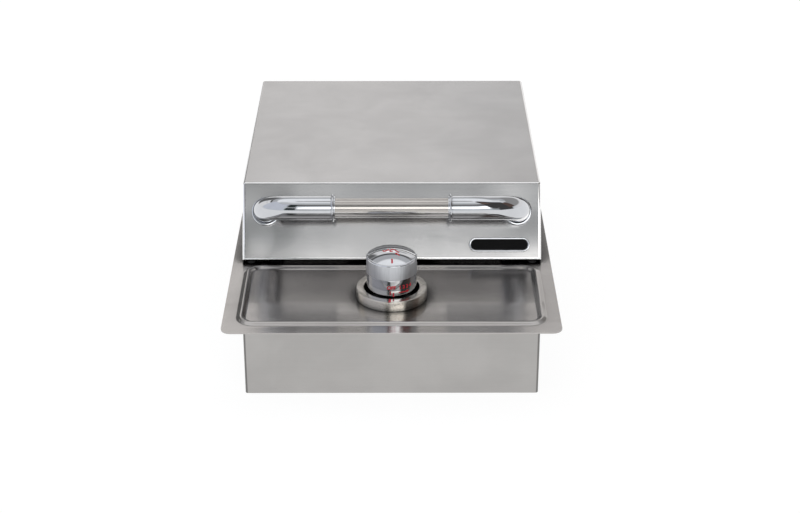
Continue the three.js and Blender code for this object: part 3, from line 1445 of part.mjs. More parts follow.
function build_handle() {
  const leg_x = handle_leg_spacing / 2;
  const elbow_end = leg_x - elbow_reach;
  sides_of_part.forEach(([word, side]) => {
    const path = new BentPath([
      new THREE.Vector3(side * leg_x, -handle_drop, seat_gap),
      new THREE.Vector3(side * leg_x, -handle_drop, handle_standoff),
      new THREE.Vector3(side * elbow_end, -handle_drop, handle_standoff),
    ], handle_bend_radius);
    const sweep = tube_along(path, elbow_radius, round_sides);
    const bead_start = side > 0 ? elbow_end + elbow_bead_inset : -elbow_end - elbow_bead_inset
      - elbow_bead_width;
    const bead = turned_bead(elbow_bead_rise, elbow_bead_width);
    bead.rotateZ(-Math.PI / 2).translate(bead_start, -handle_drop, handle_standoff);
    const socket_start = side > 0 ? elbow_end - overrun : -elbow_end - socket_depth;
    const socket = rod('x', [socket_start, -handle_drop, handle_standoff], grip_radius + seat_gap,
      socket_depth + overrun, round_sides);
    const bolt_hole = rod('z', [side * leg_x, -handle_drop, -overrun], handle_bolt_radius + running_gap,
      handle_bolt_reach + 2 * overrun, tiny_sides);
    add_piece(`handle_elbow_${word}`, cut(join(sweep, bead), socket, bolt_hole), materials.chrome,
      face_group);

    const ring_radius = elbow_radius + leg_ring_flange;
    const ring = turned([
      [elbow_radius + seat_gap, 0], [ring_radius, 0], [ring_radius, leg_ring_height - leg_ring_edge],
      [ring_radius - leg_ring_edge * pan_flat_share, leg_ring_height - leg_ring_edge / 3],
      [ring_radius - leg_ring_edge, leg_ring_height], [elbow_radius + 2 * seat_gap, leg_ring_height],
      [elbow_radius + seat_gap, leg_ring_height - seat_gap], [elbow_radius + seat_gap, 0],
    ], round_sides);
    add_piece(`handle_ring_${word}`, ring.translate(side * leg_x, -handle_drop, seat_gap),
      materials.chrome, face_group);

    const bolt_level = -lid_sheet - seat_gap;
    const bolt = pan_screw(handle_bolt_head_radius, handle_bolt_head_height, handle_bolt_radius,
      handle_bolt_reach - bolt_level);
    bolt.rotateX(Math.PI);
    add_piece(`handle_bolt_${word}`, bolt.translate(side * leg_x, -handle_drop, bolt_level),
      materials.plated_steel, face_group);
  });

  const grip_half = elbow_end + socket_depth - seat_gap;
  add_piece('handle_tube', rod('x', [-grip_half, -handle_drop, handle_standoff], grip_radius,
    2 * grip_half, round_sides), materials.satin_steel, face_group);
}

// Half-round band along Y, closed at the axis
function turned_bead(lift, width) {
  const profile = [[0, 0]];
  for (let step = 0; step <= band_steps; step += 1) {
    const angle = Math.PI * (step / band_steps);
    profile.push([elbow_radius - seat_gap + (lift + seat_gap) * Math.sin(angle),
      width * (1 - Math.cos(angle)) / 2]);
  }
  profile.push([0, width]);
  return turned_along_y(profile, round_sides);
}

// Badge plate: a bare rimmed plate with a dark inlay

function build_badge() {
  const stadium = (inset) => rounded_outline(rectangle_corners(badge_length - 2 * inset,
    badge_height - 2 * inset, badge_height / 2 - inset - keen_radius, badge_offset, -badge_drop),
  corner_steps * 2);
  const plate = slab(stadium(0), 'z', seat_gap, seat_gap + badge_thickness);
  const recess_floor = seat_gap + badge_thickness - badge_recess;
  const recess = slab(stadium(badge_rim), 'z', recess_floor, seat_gap + badge_thickness + overrun);
  const pins = [-1, 1].map((side) => rod('z', [badge_offset + side * badge_pin_spacing / 2, -badge_drop,
    -lid_sheet - badge_pin_length], badge_pin_radius, lid_sheet + badge_pin_length + seat_gap + badge_recess,
  tiny_sides));
  add_piece('badge_plate', cut(join(plate, ...pins), recess), materials.chrome, face_group);
  add_piece('badge_inlay', slab(stadium(badge_rim + seat_gap / 2), 'z', recess_floor + seat_gap / 3,
    seat_gap + badge_thickness - seat_gap / 3), materials.black_enamel, face_group);
}

// Hinge

function build_hinge() {
  sides_of_part.forEach(([word, side]) => {
    const plate_outer = hinge_plate_outer;
    const plate_inner = plate_outer - hinge_plate_sheet;
    const top = hinge_level + hinge_washer_radius;
    const outline = rounded_outline([
      [hinge_middle - hinge_plate_front, deck_top, 0], [hinge_middle + hinge_plate_back, deck_top, 0],
      [hinge_middle + hinge_plate_back, top, hinge_plate_back - running_gap],
      [hinge_middle - hinge_plate_back, top, hinge_plate_back - running_gap],
      [hinge_middle - hinge_plate_front, deck_top + hinge_height / 2, 0],
    ], corner_steps);
    const near = Math.min(side * plate_inner, side * plate_outer);
    const upright = slab(outline, 'x', near, near + hinge_plate_sheet);
    const foot_inner = side * (plate_outer - hinge_foot_width);
    const foot = block(
      [Math.min(foot_inner, side * plate_outer), hinge_middle - hinge_plate_front, deck_top],
      [Math.max(foot_inner, side * plate_outer), hinge_middle + hinge_plate_back,
        deck_top + hinge_plate_sheet],
    );
    const pin_hole = rod('x', [near - overrun, hinge_middle, hinge_level],
      hinge_pin_radius + running_gap, hinge_plate_sheet + 2 * overrun, hidden_sides);
    add_piece(`hinge_bracket_${word}`, cut(join(upright, foot), pin_hole), materials.plated_steel);

    const lid_outer = lid_width / 2;
    const head_base = lid_outer + seat_gap;
    const pin_end = plate_inner - seat_gap - hinge_nut_height;
    const pin = join(
      turned_along_y([
        [0, pin_end], [hinge_pin_radius, pin_end], [hinge_pin_radius, head_base],
        [hinge_head_radius, head_base], [hinge_head_radius, head_base + hinge_head_height / 3],
        [hinge_head_radius * pan_flat_share, head_base + hinge_head_height],
        [0, head_base + hinge_head_height],
      ], hidden_sides),
    );
    pin.rotateZ(-Math.PI / 2);
    if (side < 0) pin.rotateZ(Math.PI);
    add_piece(`hinge_pin_${word}`, pin.translate(0, hinge_middle, hinge_level), materials.chrome);

    const washer_near = side > 0 ? plate_outer + running_gap : -plate_outer - running_gap
      - hinge_washer_thickness;
    const washer = cut(
      rod('x', [washer_near, hinge_middle, hinge_level], hinge_washer_radius, hinge_washer_thickness,
        hidden_sides),
      rod('x', [washer_near - overrun, hinge_middle, hinge_level], hinge_pin_radius + running_gap,
        hinge_washer_thickness + 2 * overrun, hidden_sides),
    );
    add_piece(`hinge_washer_${word}`, washer, materials.nylon);

    const nut_near = side > 0 ? plate_inner - seat_gap - hinge_nut_height : -plate_inner + seat_gap;
    const nut = cut(
      rod('x', [nut_near, hinge_middle, hinge_level], hinge_nut_radius, hinge_nut_height, hex_sides),
      rod('x', [nut_near - overrun, hinge_middle, hinge_level], hinge_pin_radius + running_gap,
        hinge_nut_height + 2 * overrun, hidden_sides),
    );
    add_piece(`hinge_nut_${word}`, nut, materials.plated_steel);
  });
}

// Rubber rests

function build_rests() {
  sides_of_part.forEach(([word, side]) => {
    const bumper = rod('z', [side * (lid_width / 2 - bumper_side_inset), lid_front + bumper_setback,
      deck_top], bumper_radius, lid_lift - seat_gap, small_sides, bumper_radius * pan_flat_share);
    add_piece(`lid_bumper_${word}`, bumper, materials.rubber);
    const pad = rod('z', [side * stop_pad_spacing / 2, deck_back - stop_pad_setback,
      deck_top], stop_pad_radius, hinge_swing_gap - seat_gap, small_sides);
    add_piece(`stop_pad_${word}`, pad, materials.rubber);
  });
}

build_deck();
build_box_shell();
build_box_back();
build_box_bottom();
build_bowl();
build_burner_base();
build_air_shutter();
build_burner_head();
build_burner_cap();
build_burner_screws();
build_grate();
build_baffle();
build_valve_body();
build_valve_plug();
build_bonnet();
build_valve_bracket();
build_valve_screws();
build_jet();
build_stem();
build_stem_spring();
build_knob();
build_knob_hub();
build_knob_ring();
build_grommet();
build_gas_line();
build_spark_parts();
build_lid_shell();
build_handle();
build_badge();
build_hinge();
build_rests();

export default model;
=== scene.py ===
import json
import math

import bmesh
import bpy
from mathutils import Matrix, Vector


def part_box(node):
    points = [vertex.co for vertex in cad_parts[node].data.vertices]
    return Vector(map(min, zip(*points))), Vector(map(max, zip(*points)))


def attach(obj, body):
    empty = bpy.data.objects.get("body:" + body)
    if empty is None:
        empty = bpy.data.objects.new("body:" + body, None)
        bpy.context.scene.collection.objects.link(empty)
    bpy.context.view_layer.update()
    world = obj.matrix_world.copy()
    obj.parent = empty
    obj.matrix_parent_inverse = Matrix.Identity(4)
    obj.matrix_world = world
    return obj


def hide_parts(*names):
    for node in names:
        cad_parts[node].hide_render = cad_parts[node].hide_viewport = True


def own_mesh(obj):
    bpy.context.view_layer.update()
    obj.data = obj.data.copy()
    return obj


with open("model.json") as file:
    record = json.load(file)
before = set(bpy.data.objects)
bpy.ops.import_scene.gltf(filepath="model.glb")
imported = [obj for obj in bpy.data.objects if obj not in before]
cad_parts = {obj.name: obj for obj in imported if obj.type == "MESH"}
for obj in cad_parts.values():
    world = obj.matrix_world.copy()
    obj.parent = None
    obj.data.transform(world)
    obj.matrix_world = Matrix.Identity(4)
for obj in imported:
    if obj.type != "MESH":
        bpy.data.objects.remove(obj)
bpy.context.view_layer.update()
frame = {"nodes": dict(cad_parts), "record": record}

MM = 0.001

# Camera at the photograph's place and angle
CAMERA_PLACE = (4.9 * MM, -1775.6 * MM, 897.5 * MM)
CAMERA_LENS = 78.72
CAMERA_SENSOR = 36.0
CAMERA_DOWN = math.radians(25.92)
CAMERA_YAW = math.radians(-0.1375)
CAMERA_ROLL = math.radians(0.017)


def make_camera():
    data = bpy.data.cameras.new("photo_camera")
    data.lens = CAMERA_LENS
    data.sensor_fit = "HORIZONTAL"
    data.sensor_width = CAMERA_SENSOR
    data.clip_start = 0.05
    data.clip_end = 100.0
    camera = bpy.data.objects.new("photo_camera", data)
    camera.location = CAMERA_PLACE
    camera.rotation_euler = (math.pi / 2 - CAMERA_DOWN, CAMERA_ROLL, CAMERA_YAW)
    bpy.context.scene.collection.objects.link(camera)
    bpy.context.scene.camera = camera


# Node tools

# How well a rounded normal agrees with the real one, at the rim of an edge and at its middle
EDGE_RIM = 0.995
EDGE_MIDDLE = 0.85
# Most noise lies between these
NOISE_LOW = 0.3
NOISE_HIGH = 0.7
EVEN = (1.0, 1.0, 1.0)
WHITE = (1.0, 1.0, 1.0, 1.0)


class Graph:
    """A node tree that is written as short calls."""

    def __init__(self, tree):
        self.tree = tree
        self.nodes = tree.nodes
        self.nodes.clear()

    def add(self, kind, inputs=None, **settings):
        node = self.nodes.new(kind)
        for key, value in settings.items():
            setattr(node, key, value)
        for key, value in (inputs or {}).items():
            self.put(node.inputs[key], value)
        return node

    def put(self, socket, value):
        if isinstance(value, bpy.types.NodeSocket):
            self.tree.links.new(value, socket)
        elif isinstance(value, bpy.types.Node):
            self.tree.links.new(value.outputs[0], socket)
        else:
            socket.default_value = value

    def math(self, operation, first, second=0.0, third=0.0, clamp=False):
        node = self.add("ShaderNodeMath", operation=operation, use_clamp=clamp)
        for socket, value in zip(node.inputs, (first, second, third)):
            self.put(socket, value)
        return node.outputs[0]

    def spread(self, value, low, high, to_low=0.0, to_high=1.0, smooth=True):
        node = self.add("ShaderNodeMapRange", interpolation_type="SMOOTHSTEP" if smooth else "LINEAR")
        for key, item in (("Value", value), ("From Min", low), ("From Max", high),
                          ("To Min", to_low), ("To Max", to_high)):
            self.put(node.inputs[key], item)
        return node.outputs[0]

    def vary(self, noise, middle, reach, smooth=True):
        """A value that a noise moves up and down by a reach."""
        return self.spread(noise, NOISE_LOW, NOISE_HIGH, middle - reach, middle + reach, smooth)

    def blend(self, share, first, second):
        node = self.add("ShaderNodeMix", data_type="RGBA", blend_type="MIX")
        self.put(node.inputs[0], share)
        self.put(node.inputs[6], first)
        self.put(node.inputs[7], second)
        return node.outputs[2]

    def place(self, scale):
        """The piece's own coordinates, stretched by a scale for each axis."""
        coordinates = self.add("ShaderNodeTexCoord").outputs["Object"]
        return self.add("ShaderNodeMapping", {"Vector": coordinates, "Scale": scale}).outputs[0]

    def noise(self, vector, scale, detail, roughness, distortion=0.0):
        node = self.add("ShaderNodeTexNoise", {"Vector": vector, "Scale": scale, "Detail": detail,
                                               "Roughness": roughness, "Distortion": distortion})
        return node.outputs[0]

    def bump(self, height, strength, distance, normal=None):
        inputs = {"Height": height, "Strength": strength, "Distance": distance}
        if normal is not None:
            inputs["Normal"] = normal
        return self.add("ShaderNodeBump", inputs).outputs[0]

    def edges(self, radius):
        """1 near a sharp edge and 0 away from it, by the surface itself."""
        rounded = self.add("ShaderNodeBevel", {"Radius": radius}, samples=4)
        facing = self.add("ShaderNodeNewGeometry").outputs["Normal"]
        dot = self.add("ShaderNodeVectorMath", {0: rounded, 1: facing}, operation="DOT_PRODUCT")
        return self.spread(dot.outputs["Value"], EDGE_RIM, EDGE_MIDDLE)


def rgb(red, green, blue):
    """A colour as it shows on a screen, 0 to 255, in linear light."""
    def linear(value):
        share = value / 255
        return share / 12.92 if share <= 0.04045 else ((share + 0.055) / 1.055) ** 2.4
    return (linear(red), linear(green), linear(blue), 1.0)


def shade(colour, factor):
    return tuple(min(1.0, part * factor) for part in colour[:3]) + (1.0,)


def new_material(name, colour):
    material = bpy.data.materials.new(name)
    material.use_nodes = True
    material.diffuse_color = colour
    graph = Graph(material.node_tree)
    shader = graph.add("ShaderNodeBsdfPrincipled")
    graph.add("ShaderNodeOutputMaterial", {"Surface": shader.outputs[0]})
    return material, graph, shader


def tint_metal(graph, shader, colour, tone):
    """Metal of one colour, made lighter or darker by a tone."""
    tint = graph.add("ShaderNodeVectorMath", {0: colour[:3], "Scale": tone}, operation="SCALE")
    graph.put(shader.inputs["Base Color"], tint)
    shader.inputs["Metallic"].default_value = 1.0


def stretch_shine(graph, shader, anisotropy, tangent):
    """Reflections drawn out across a grain that runs along a tangent."""
    shader.inputs["Anisotropic"].default_value = anisotropy
    shader.inputs["Anisotropic Rotation"].default_value = QUARTER_TURN
    graph.put(shader.inputs["Tangent"], tangent)


def lean_normal(graph, normal, axis, towards, leans):
    """The normal turned towards a direction: where a lean starts and ends on an axis, and how far."""
    place = graph.add("ShaderNodeSeparateXYZ", {0: graph.place(EVEN)}).outputs[axis]
    total = 0.0
    for start, end, slope in leans:
        total = graph.math("ADD", total, graph.spread(place, start, end, 0.0, slope))
    push = graph.add("ShaderNodeVectorMath", {0: towards, "Scale": total}, operation="SCALE")
    added = graph.add("ShaderNodeVectorMath", {0: normal, 1: push}, operation="ADD")
    return graph.add("ShaderNodeVectorMath", {0: added}, operation="NORMALIZE").outputs[0]


# Brushed sheet: noise scales per metre, its worn edge, and the depth of its grain
FINE_GRAIN = 3600.0
BROAD_GRAIN = 700.0
HANDLING_MARKS = 14.0
SHEET_EDGE = 0.6 * MM
GRAIN_DEPTH = 0.12 * MM
# Painted shade in corners and round contacts: openness from and to, and the tone there
CREVICE_FALL = (0.08, 0.46, 0.02, 1.0)
CONTACT_FALLS = ((0.68, 0.97, 0.2, 1.0), (0.45, 0.72, 0.08, 1.0))
# How softly the painted highlight bands and the painted side shade start and end, by the way the
# surface faces
BEND_SOFT_LOW = 0.1
BEND_SOFT_HIGH = 0.06
SIDE_BEND_STARTS = (0.1, 0.35)
SIDE_BEND_ENDS = (0.995, 0.97)
QUARTER_TURN = 0.25
# Turned metal: the map that unrolls it, its ring scale, worn edge, and depth of its rings
TURNED_MAP = "turned"
TURNED_RINGS = 1800.0
TURNED_STRETCH = (1.2, 1.0, 1.0)
TURNED_MARKS = 40.0
TURNED_EDGE = 0.5 * MM
TURNED_DEPTH = 0.1 * MM
# Plating: noise scales per metre and the depth of its hairlines
SMEARS = 55.0
SMEAR_LOW = 0.35
SMEAR_HIGH = 0.75
HAIRLINES = 2600.0
HAIRLINE_STRETCH = (1.0, 0.15, 0.4)
HAIRLINE_DEPTH = 0.05 * MM
COAT_ROUGHNESS = 0.15
# Grainy surfaces: from and to in the marks' noise, and how strongly the mark or the worn edge shows
MARKS_SHOW = (0.52, 0.72, 0.0, 0.7)
EDGES_SHOW = (0.35, 0.6, 0.25, 0.9)

# Along each grain's axis: how the noise is stretched, and its direction
GRAINS = {
    "x": ((0.02, 1.0, 1.0), (1.0, 0.0, 0.0)),
    "z": ((1.0, 1.0, 0.02), (0.0, 0.0, 1.0)),
}


def brushed_metal(name, colour, roughness, grain, streak=0.025, roughness_spread=0.03, anisotropy=0.3,
                  bump=0.03, wave=0.0, wave_size=0.1, wear=0.35, blotch=0.05, bows=(), crevice=0.0,
                  contact=0.0, upward_bends=(), side_bends=0.0, dimples=()):
    """Sheet metal with a brush grain along one axis, soft handling marks and brighter worn edges; it
    can also take painted shade in corners, round contacts and on sideways bends, and painted highlight
    bands.

    A bow leans the sheet a little towards the front: where it starts and ends in Y, and how far.
    A painted highlight band is lighter: from and to in how far its surface faces up, and how much
    lighter.
    A dimple is a shallow rise of the sheet: its middle, its radius and its height."""
    material, graph, shader = new_material(name, colour)
    stretch, direction = GRAINS[grain]
    fine = graph.noise(graph.place(stretch), FINE_GRAIN, 3.0, 0.65)
    broad = graph.noise(graph.place(stretch), BROAD_GRAIN, 3.0, 0.6)
    marks = graph.noise(graph.place(EVEN), HANDLING_MARKS, 4.0, 0.55, 0.4)
    streaks = graph.math("ADD", graph.math("MULTIPLY", fine, 0.5), graph.math("MULTIPLY", broad, 0.5))
    tone = graph.vary(streaks, 1.0, streak, smooth=False)
    tone = graph.math("MULTIPLY", tone, graph.vary(marks, 1.0, blotch))
    tone = graph.math("MULTIPLY", tone, graph.math("MULTIPLY_ADD", graph.edges(SHEET_EDGE), wear, 1.0))
    # Painted shade: the colour is darkened in corners and crevices, where ambient occlusion finds the
    # surface enclosed
    if crevice:
        open_air = graph.add("ShaderNodeAmbientOcclusion", {"Distance": crevice}, samples=6)
        tone = graph.math("MULTIPLY", tone, graph.spread(open_air.outputs["AO"], *CREVICE_FALL))
    # Painted contact shade: the colour is darkened close round the parts that stand on the sheet
    if contact:
        near = graph.add("ShaderNodeAmbientOcclusion", {"Distance": contact}, samples=8)
        for fall in CONTACT_FALLS:
            tone = graph.math("MULTIPLY", tone, graph.spread(near.outputs["AO"], *fall))
    facing = graph.add("ShaderNodeSeparateXYZ", {0: graph.add("ShaderNodeTexCoord").outputs["Normal"]})
    # Painted highlight: lighter colour where the surface faces up within a band
    for low, high, gain in upward_bends:
        bend = graph.math("MULTIPLY", graph.spread(facing.outputs[2], low, low + BEND_SOFT_LOW),
                          graph.spread(facing.outputs[2], high, high - BEND_SOFT_HIGH))
        tone = graph.math("MULTIPLY", tone, graph.math("MULTIPLY_ADD", bend, gain, 1.0))
    # Painted shade: darker colour on bends that turn sideways, such as the box's rounded corners
    if side_bends:
        sideways = graph.math("ABSOLUTE", facing.outputs[0])
        bend = graph.math("MULTIPLY", graph.spread(sideways, *SIDE_BEND_STARTS),
                          graph.spread(sideways, *SIDE_BEND_ENDS))
        tone = graph.math("MULTIPLY", tone, graph.math("MULTIPLY_ADD", bend, side_bends, 1.0))
    tint_metal(graph, shader, colour, tone)
    mixed = graph.math("ADD", graph.math("MULTIPLY", streaks, 0.7), graph.math("MULTIPLY", marks, 0.3))
    graph.put(shader.inputs["Roughness"], graph.vary(mixed, roughness, roughness_spread, smooth=False))
    normal = graph.bump(streaks, bump, GRAIN_DEPTH)
    if wave:
        swell = graph.noise(graph.place(EVEN), 1.0 / wave_size, 1.0, 0.4)
        normal = graph.bump(swell, 1.0, wave, normal)
    for middle, reach, rise in dimples:
        away = graph.add("ShaderNodeVectorMath", {0: graph.place(EVEN), 1: middle},
                         operation="DISTANCE").outputs["Value"]
        normal = graph.bump(graph.spread(away, 0.0, reach, 1.0, 0.0), 1.0, rise, normal)
    if bows:
        normal = lean_normal(graph, normal, 1, (0.0, -1.0, 0.0), bows)
    graph.put(shader.inputs["Normal"], normal)
    stretch_shine(graph, shader, anisotropy,
                  graph.add("ShaderNodeCombineXYZ", dict(enumerate(direction))))
    return material


def turned_metal(name, colour, roughness, anisotropy=0.6, streak=0.05):
    """Metal turned on a lathe, with fine rings round its own upright axis."""
    material, graph, shader = new_material(name, colour)
    unrolled = graph.add("ShaderNodeUVMap", uv_map=TURNED_MAP)
    stretched = graph.add("ShaderNodeMapping", {"Vector": unrolled, "Scale": TURNED_STRETCH})
    rings = graph.noise(stretched, TURNED_RINGS, 3.0, 0.6)
    marks = graph.noise(graph.place(EVEN), TURNED_MARKS, 3.0, 0.5)
    tone = graph.vary(rings, 1.0, streak, smooth=False)
    tone = graph.math("MULTIPLY", tone, graph.vary(marks, 1.0, 0.04))
    tone = graph.math("MULTIPLY", tone, graph.math("MULTIPLY_ADD", graph.edges(TURNED_EDGE), 0.3, 1.0))
    tint_metal(graph, shader, colour, tone)
    graph.put(shader.inputs["Roughness"], graph.vary(rings, roughness, 0.05))
    graph.put(shader.inputs["Normal"], graph.bump(rings, 0.1, TURNED_DEPTH))
    stretch_shine(graph, shader, anisotropy,
                  graph.add("ShaderNodeTangent", direction_type="RADIAL", axis="Z"))
    return material


def polished_metal(name, colour, roughness, smear=0.03, leans=()):
    """Bright plating with faint smears and hairline polishing marks.

    A lean turns the surface outwards: where it starts and ends in X, and how far."""
    material, graph, shader = new_material(name, colour)
    smears = graph.noise(graph.place(EVEN), SMEARS, 4.0, 0.6, 0.8)
    hairs = graph.noise(graph.place(HAIRLINE_STRETCH), HAIRLINES, 2.0, 0.6)
    tone = graph.vary(smears, 1.0, 0.03)
    tint_metal(graph, shader, colour, tone)
    graph.put(shader.inputs["Roughness"],
              graph.spread(smears, SMEAR_LOW, SMEAR_HIGH, roughness, roughness + smear))
    normal = graph.bump(hairs, 0.03, HAIRLINE_DEPTH)
    if leans:
        normal = lean_normal(graph, normal, 0, (1.0, 0.0, 0.0), leans)
    graph.put(shader.inputs["Normal"], normal)
    return material


def grainy(name, colour, roughness, metallic=0.0, size=900.0, bump=0.25, depth=0.0002, spread=0.12,
           edge_colour=None, edge_radius=0.0008, mark_colour=None, mark_scale=30.0, coat=0.0,
           specular=0.5):
    """Cast, moulded, fired or plated surface: grain, colour spread, marks and worn edges."""
    material, graph, shader = new_material(name, colour)
    grain = graph.noise(graph.place(EVEN), size, 3.0, 0.6)
    marks = graph.noise(graph.place(EVEN), mark_scale, 5.0, 0.6, 0.3)
    base = graph.blend(graph.spread(grain, NOISE_LOW, NOISE_HIGH), shade(colour, 1.0 - spread),
                       shade(colour, 1.0 + spread))
    if mark_colour is not None:
        base = graph.blend(graph.spread(marks, *MARKS_SHOW), base, mark_colour)
    if edge_colour is not None:
        rub = graph.math("MULTIPLY", graph.edges(edge_radius), graph.spread(marks, *EDGES_SHOW))
        base = graph.blend(rub, base, edge_colour)
    graph.put(shader.inputs["Base Color"], base)
    shader.inputs["Metallic"].default_value = metallic
    graph.put(shader.inputs["Roughness"], graph.vary(marks, roughness, 0.08))
    graph.put(shader.inputs["Normal"], graph.bump(grain, bump, depth))
    shader.inputs["Specular IOR Level"].default_value = specular
    shader.inputs["Coat Weight"].default_value = coat
    shader.inputs["Coat Roughness"].default_value = COAT_ROUGHNESS
    return material


# Stage: white floor and backdrop, soft studio surroundings

FLOOR_HALF = 30.0
FLOOR_LEVEL = -0.3 * MM
FLOOR_GLOW = 0.93
FLOOR_LIT = (0.8, 0.8, 0.8, 1.0)
FLOOR_SHADED = (0.12, 0.12, 0.12, 1.0)


def is_seen(graph):
    path = graph.add("ShaderNodeLightPath")
    seen = graph.math("ADD", path.outputs["Is Camera Ray"], path.outputs["Is Glossy Ray"])
    return graph.math("ADD", seen, path.outputs["Is Transmission Ray"], clamp=True)


def make_floor():
    mesh = bpy.data.meshes.new("studio_floor")
    corners = [(x * FLOOR_HALF, y * FLOOR_HALF, FLOOR_LEVEL)
               for x, y in ((-1, -1), (1, -1), (1, 1), (-1, 1))]
    mesh.from_pydata(corners, [], [(0, 1, 2, 3)])
    floor = bpy.data.objects.new("studio_floor", mesh)
    bpy.context.scene.collection.objects.link(floor)
    material = bpy.data.materials.new("studio_floor")
    material.use_nodes = True
    graph = Graph(material.node_tree)
    lit = graph.add("ShaderNodeBsdfDiffuse", {"Color": FLOOR_LIT})
    shadowed = graph.add("ShaderNodeBsdfDiffuse", {"Color": FLOOR_SHADED})
    glow = graph.add("ShaderNodeEmission", {"Color": WHITE, "Strength": FLOOR_GLOW})
    bright = graph.add("ShaderNodeAddShader", {0: glow.outputs[0], 1: shadowed.outputs[0]})
    mix = graph.add("ShaderNodeMixShader", {0: is_seen(graph), 1: lit.outputs[0], 2: bright.outputs[0]})
    graph.add("ShaderNodeOutputMaterial", {"Surface": mix.outputs[0]})
    mesh.materials.append(material)


FRONT_SOFT = 0.35
BACK_LIGHT = (1.0, 0.985, 0.975, 1.0)
FRONT_LIGHT = (0.72, 0.76, 0.78, 1.0)
# Soft patches of the studio: azimuth from the front towards the right, height above the horizon,
# half sizes, softness, and how bright each is, with a colour
PATCHES = [
    # a darker strip and a light wall above it at the back
    (180.0, 27.0, 75.0, 1.6, 2.0, 0.8, (1.0, 0.99, 0.985)),
    (180.0, 28.2, 5.5, 1.8, 3.0, 1.75, (1.0, 0.99, 0.985)),
    (170.5, 27.6, 6.0, 2.0, 2.5, 0.5, (1.0, 0.99, 0.985)),
    (180.0, 47.5, 75.0, 7.5, 4.0, 0.6, (0.98, 0.99, 1.01)),
    (180.0, 39.0, 75.0, 2.6, 2.0, 0.12, (1.0, 1.0, 1.0)),
    # the dark ceiling over the back, and a broad soft light high in front
    (180.0, 75.0, 92.0, 19.0, 5.0, 1.2, (0.98, 0.99, 1.0)),
    (0.0, 80.0, 92.0, 9.0, 6.0, 1.1, (0.98, 0.99, 1.0)),
    (0.0, 90.0, 180.0, 5.0, 3.0, 0.44, (1.0, 0.97, 0.95)),
    (0.0, 64.0, 70.0, 8.0, 6.0, 0.75, (0.98, 0.99, 1.0)),
    (0.0, 48.0, 70.0, 8.5, 4.0, 0.24, (1.0, 1.0, 1.0)),
    # a pale wall on the left, dark screens on the right
    (-64.0, 30.0, 40.0, 26.0, 4.0, 0.8, (0.93, 0.96, 1.05)),
    (-148.0, 8.0, 14.0, 28.0, 6.0, 0.16, (1.0, 1.0, 1.0)),
    (172.0, 19.5, 7.0, 2.5, 4.0, 0.86, (1.0, 1.0, 1.0)),
    (118.0, 26.0, 36.0, 16.0, 6.0, 0.38, (1.0, 0.98, 0.96)),
    (62.0, 38.0, 22.0, 42.0, 5.0, 0.07, (1.0, 0.97, 0.95)),
    (54.0, 60.0, 14.0, 9.0, 4.0, 0.16, (1.0, 0.7, 0.6)),
    (84.0, 28.0, 11.0, 17.0, 4.0, 0.13, (1.0, 0.7, 0.6)),
    # a soft box on the right, a dark screen on the left, and narrow lights low between them
    (-8.0, 14.0, 10.0, 17.0, 4.0, 0.55, (0.97, 0.99, 1.0)),
    (17.5, 23.2, 22.0, 9.8, 4.0, 2.8, (1.0, 0.995, 0.98)),
    (-13.5, 29.5, 7.0, 26.0, 1.6, 0.05, (0.8, 1.0, 0.98)),
    (-13.0, 26.4, 8.0, 1.8, 1.5, 0.9, (1.0, 1.0, 1.0)),
    (24.0, 26.8, 8.0, 2.0, 1.5, 4.2, (1.0, 0.99, 0.97)),
]


def make_world():
    world = bpy.data.worlds.new("studio")
    bpy.context.scene.world = world
    world.use_nodes = True
    graph = Graph(world.node_tree)
    direction = graph.add("ShaderNodeTexCoord").outputs["Generated"]
    parts = graph.add("ShaderNodeSeparateXYZ", {0: direction}).outputs
    across, along, up = parts[0], parts[1], parts[2]
    height = graph.math("ARCSINE", graph.math("MINIMUM", graph.math("MAXIMUM", up, -1.0), 1.0))
    height = graph.math("DEGREES", height)
    azimuth = graph.math("ARCTAN2", across, graph.math("MULTIPLY", along, -1.0))
    azimuth = graph.math("DEGREES", azimuth)

    def within(distance, half, soft):
        return graph.spread(distance, half - soft / 2, half + soft / 2, 1.0, 0.0)

    front = graph.spread(along, FRONT_SOFT, -FRONT_SOFT)
    colour = graph.blend(front, BACK_LIGHT, FRONT_LIGHT)
    for middle, level, half_across, half_up, soft, strength, tint in PATCHES:
        rise = graph.math("ABSOLUTE", graph.math("SUBTRACT", height, level))
        mask = within(rise, half_up, soft)
        if half_across < 180.0:
            turn = graph.math("ABSOLUTE", graph.math("SUBTRACT", azimuth, middle))
            turn = graph.math("MINIMUM", turn, graph.math("SUBTRACT", 360.0, turn))
            mask = graph.math("MULTIPLY", mask, within(turn, half_across, soft))
        colour = graph.blend(mask, colour, tuple(part * strength for part in tint) + (1.0,))
    seen = graph.add("ShaderNodeBackground", {"Color": WHITE, "Strength": 1.0})
    studio = graph.add("ShaderNodeBackground", {"Color": colour, "Strength": 1.0})
    path = graph.add("ShaderNodeLightPath")
    mix = graph.add("ShaderNodeMixShader", {0: path.outputs["Is Camera Ray"], 1: studio.outputs[0],
                                            2: seen.outputs[0]})
    graph.add("ShaderNodeOutputWorld", {"Surface": mix.outputs[0]})


# Mesh tools

# Points nearer than this are one point, for a whole mesh and for a ring that closes to its axis
WELD_GAP = 0.002 * MM
SAME_SPOT = 1e-9
# Faces that turn by more degrees meet at a sharp edge: of new meshes, and of the CAD nodes
SHARP_ANGLE = 35.0
NODE_SHARP_ANGLE = 33.0


def link_piece(mesh, material, body, replaced=()):
    """A piece that has its mesh's name."""
    for each in material if isinstance(material, (list, tuple)) else [material]:
        mesh.materials.append(each)
    piece = bpy.data.objects.new(mesh.name, mesh)
    bpy.context.scene.collection.objects.link(piece)
    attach(piece, body)
    if replaced:
        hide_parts(*replaced)
    return piece


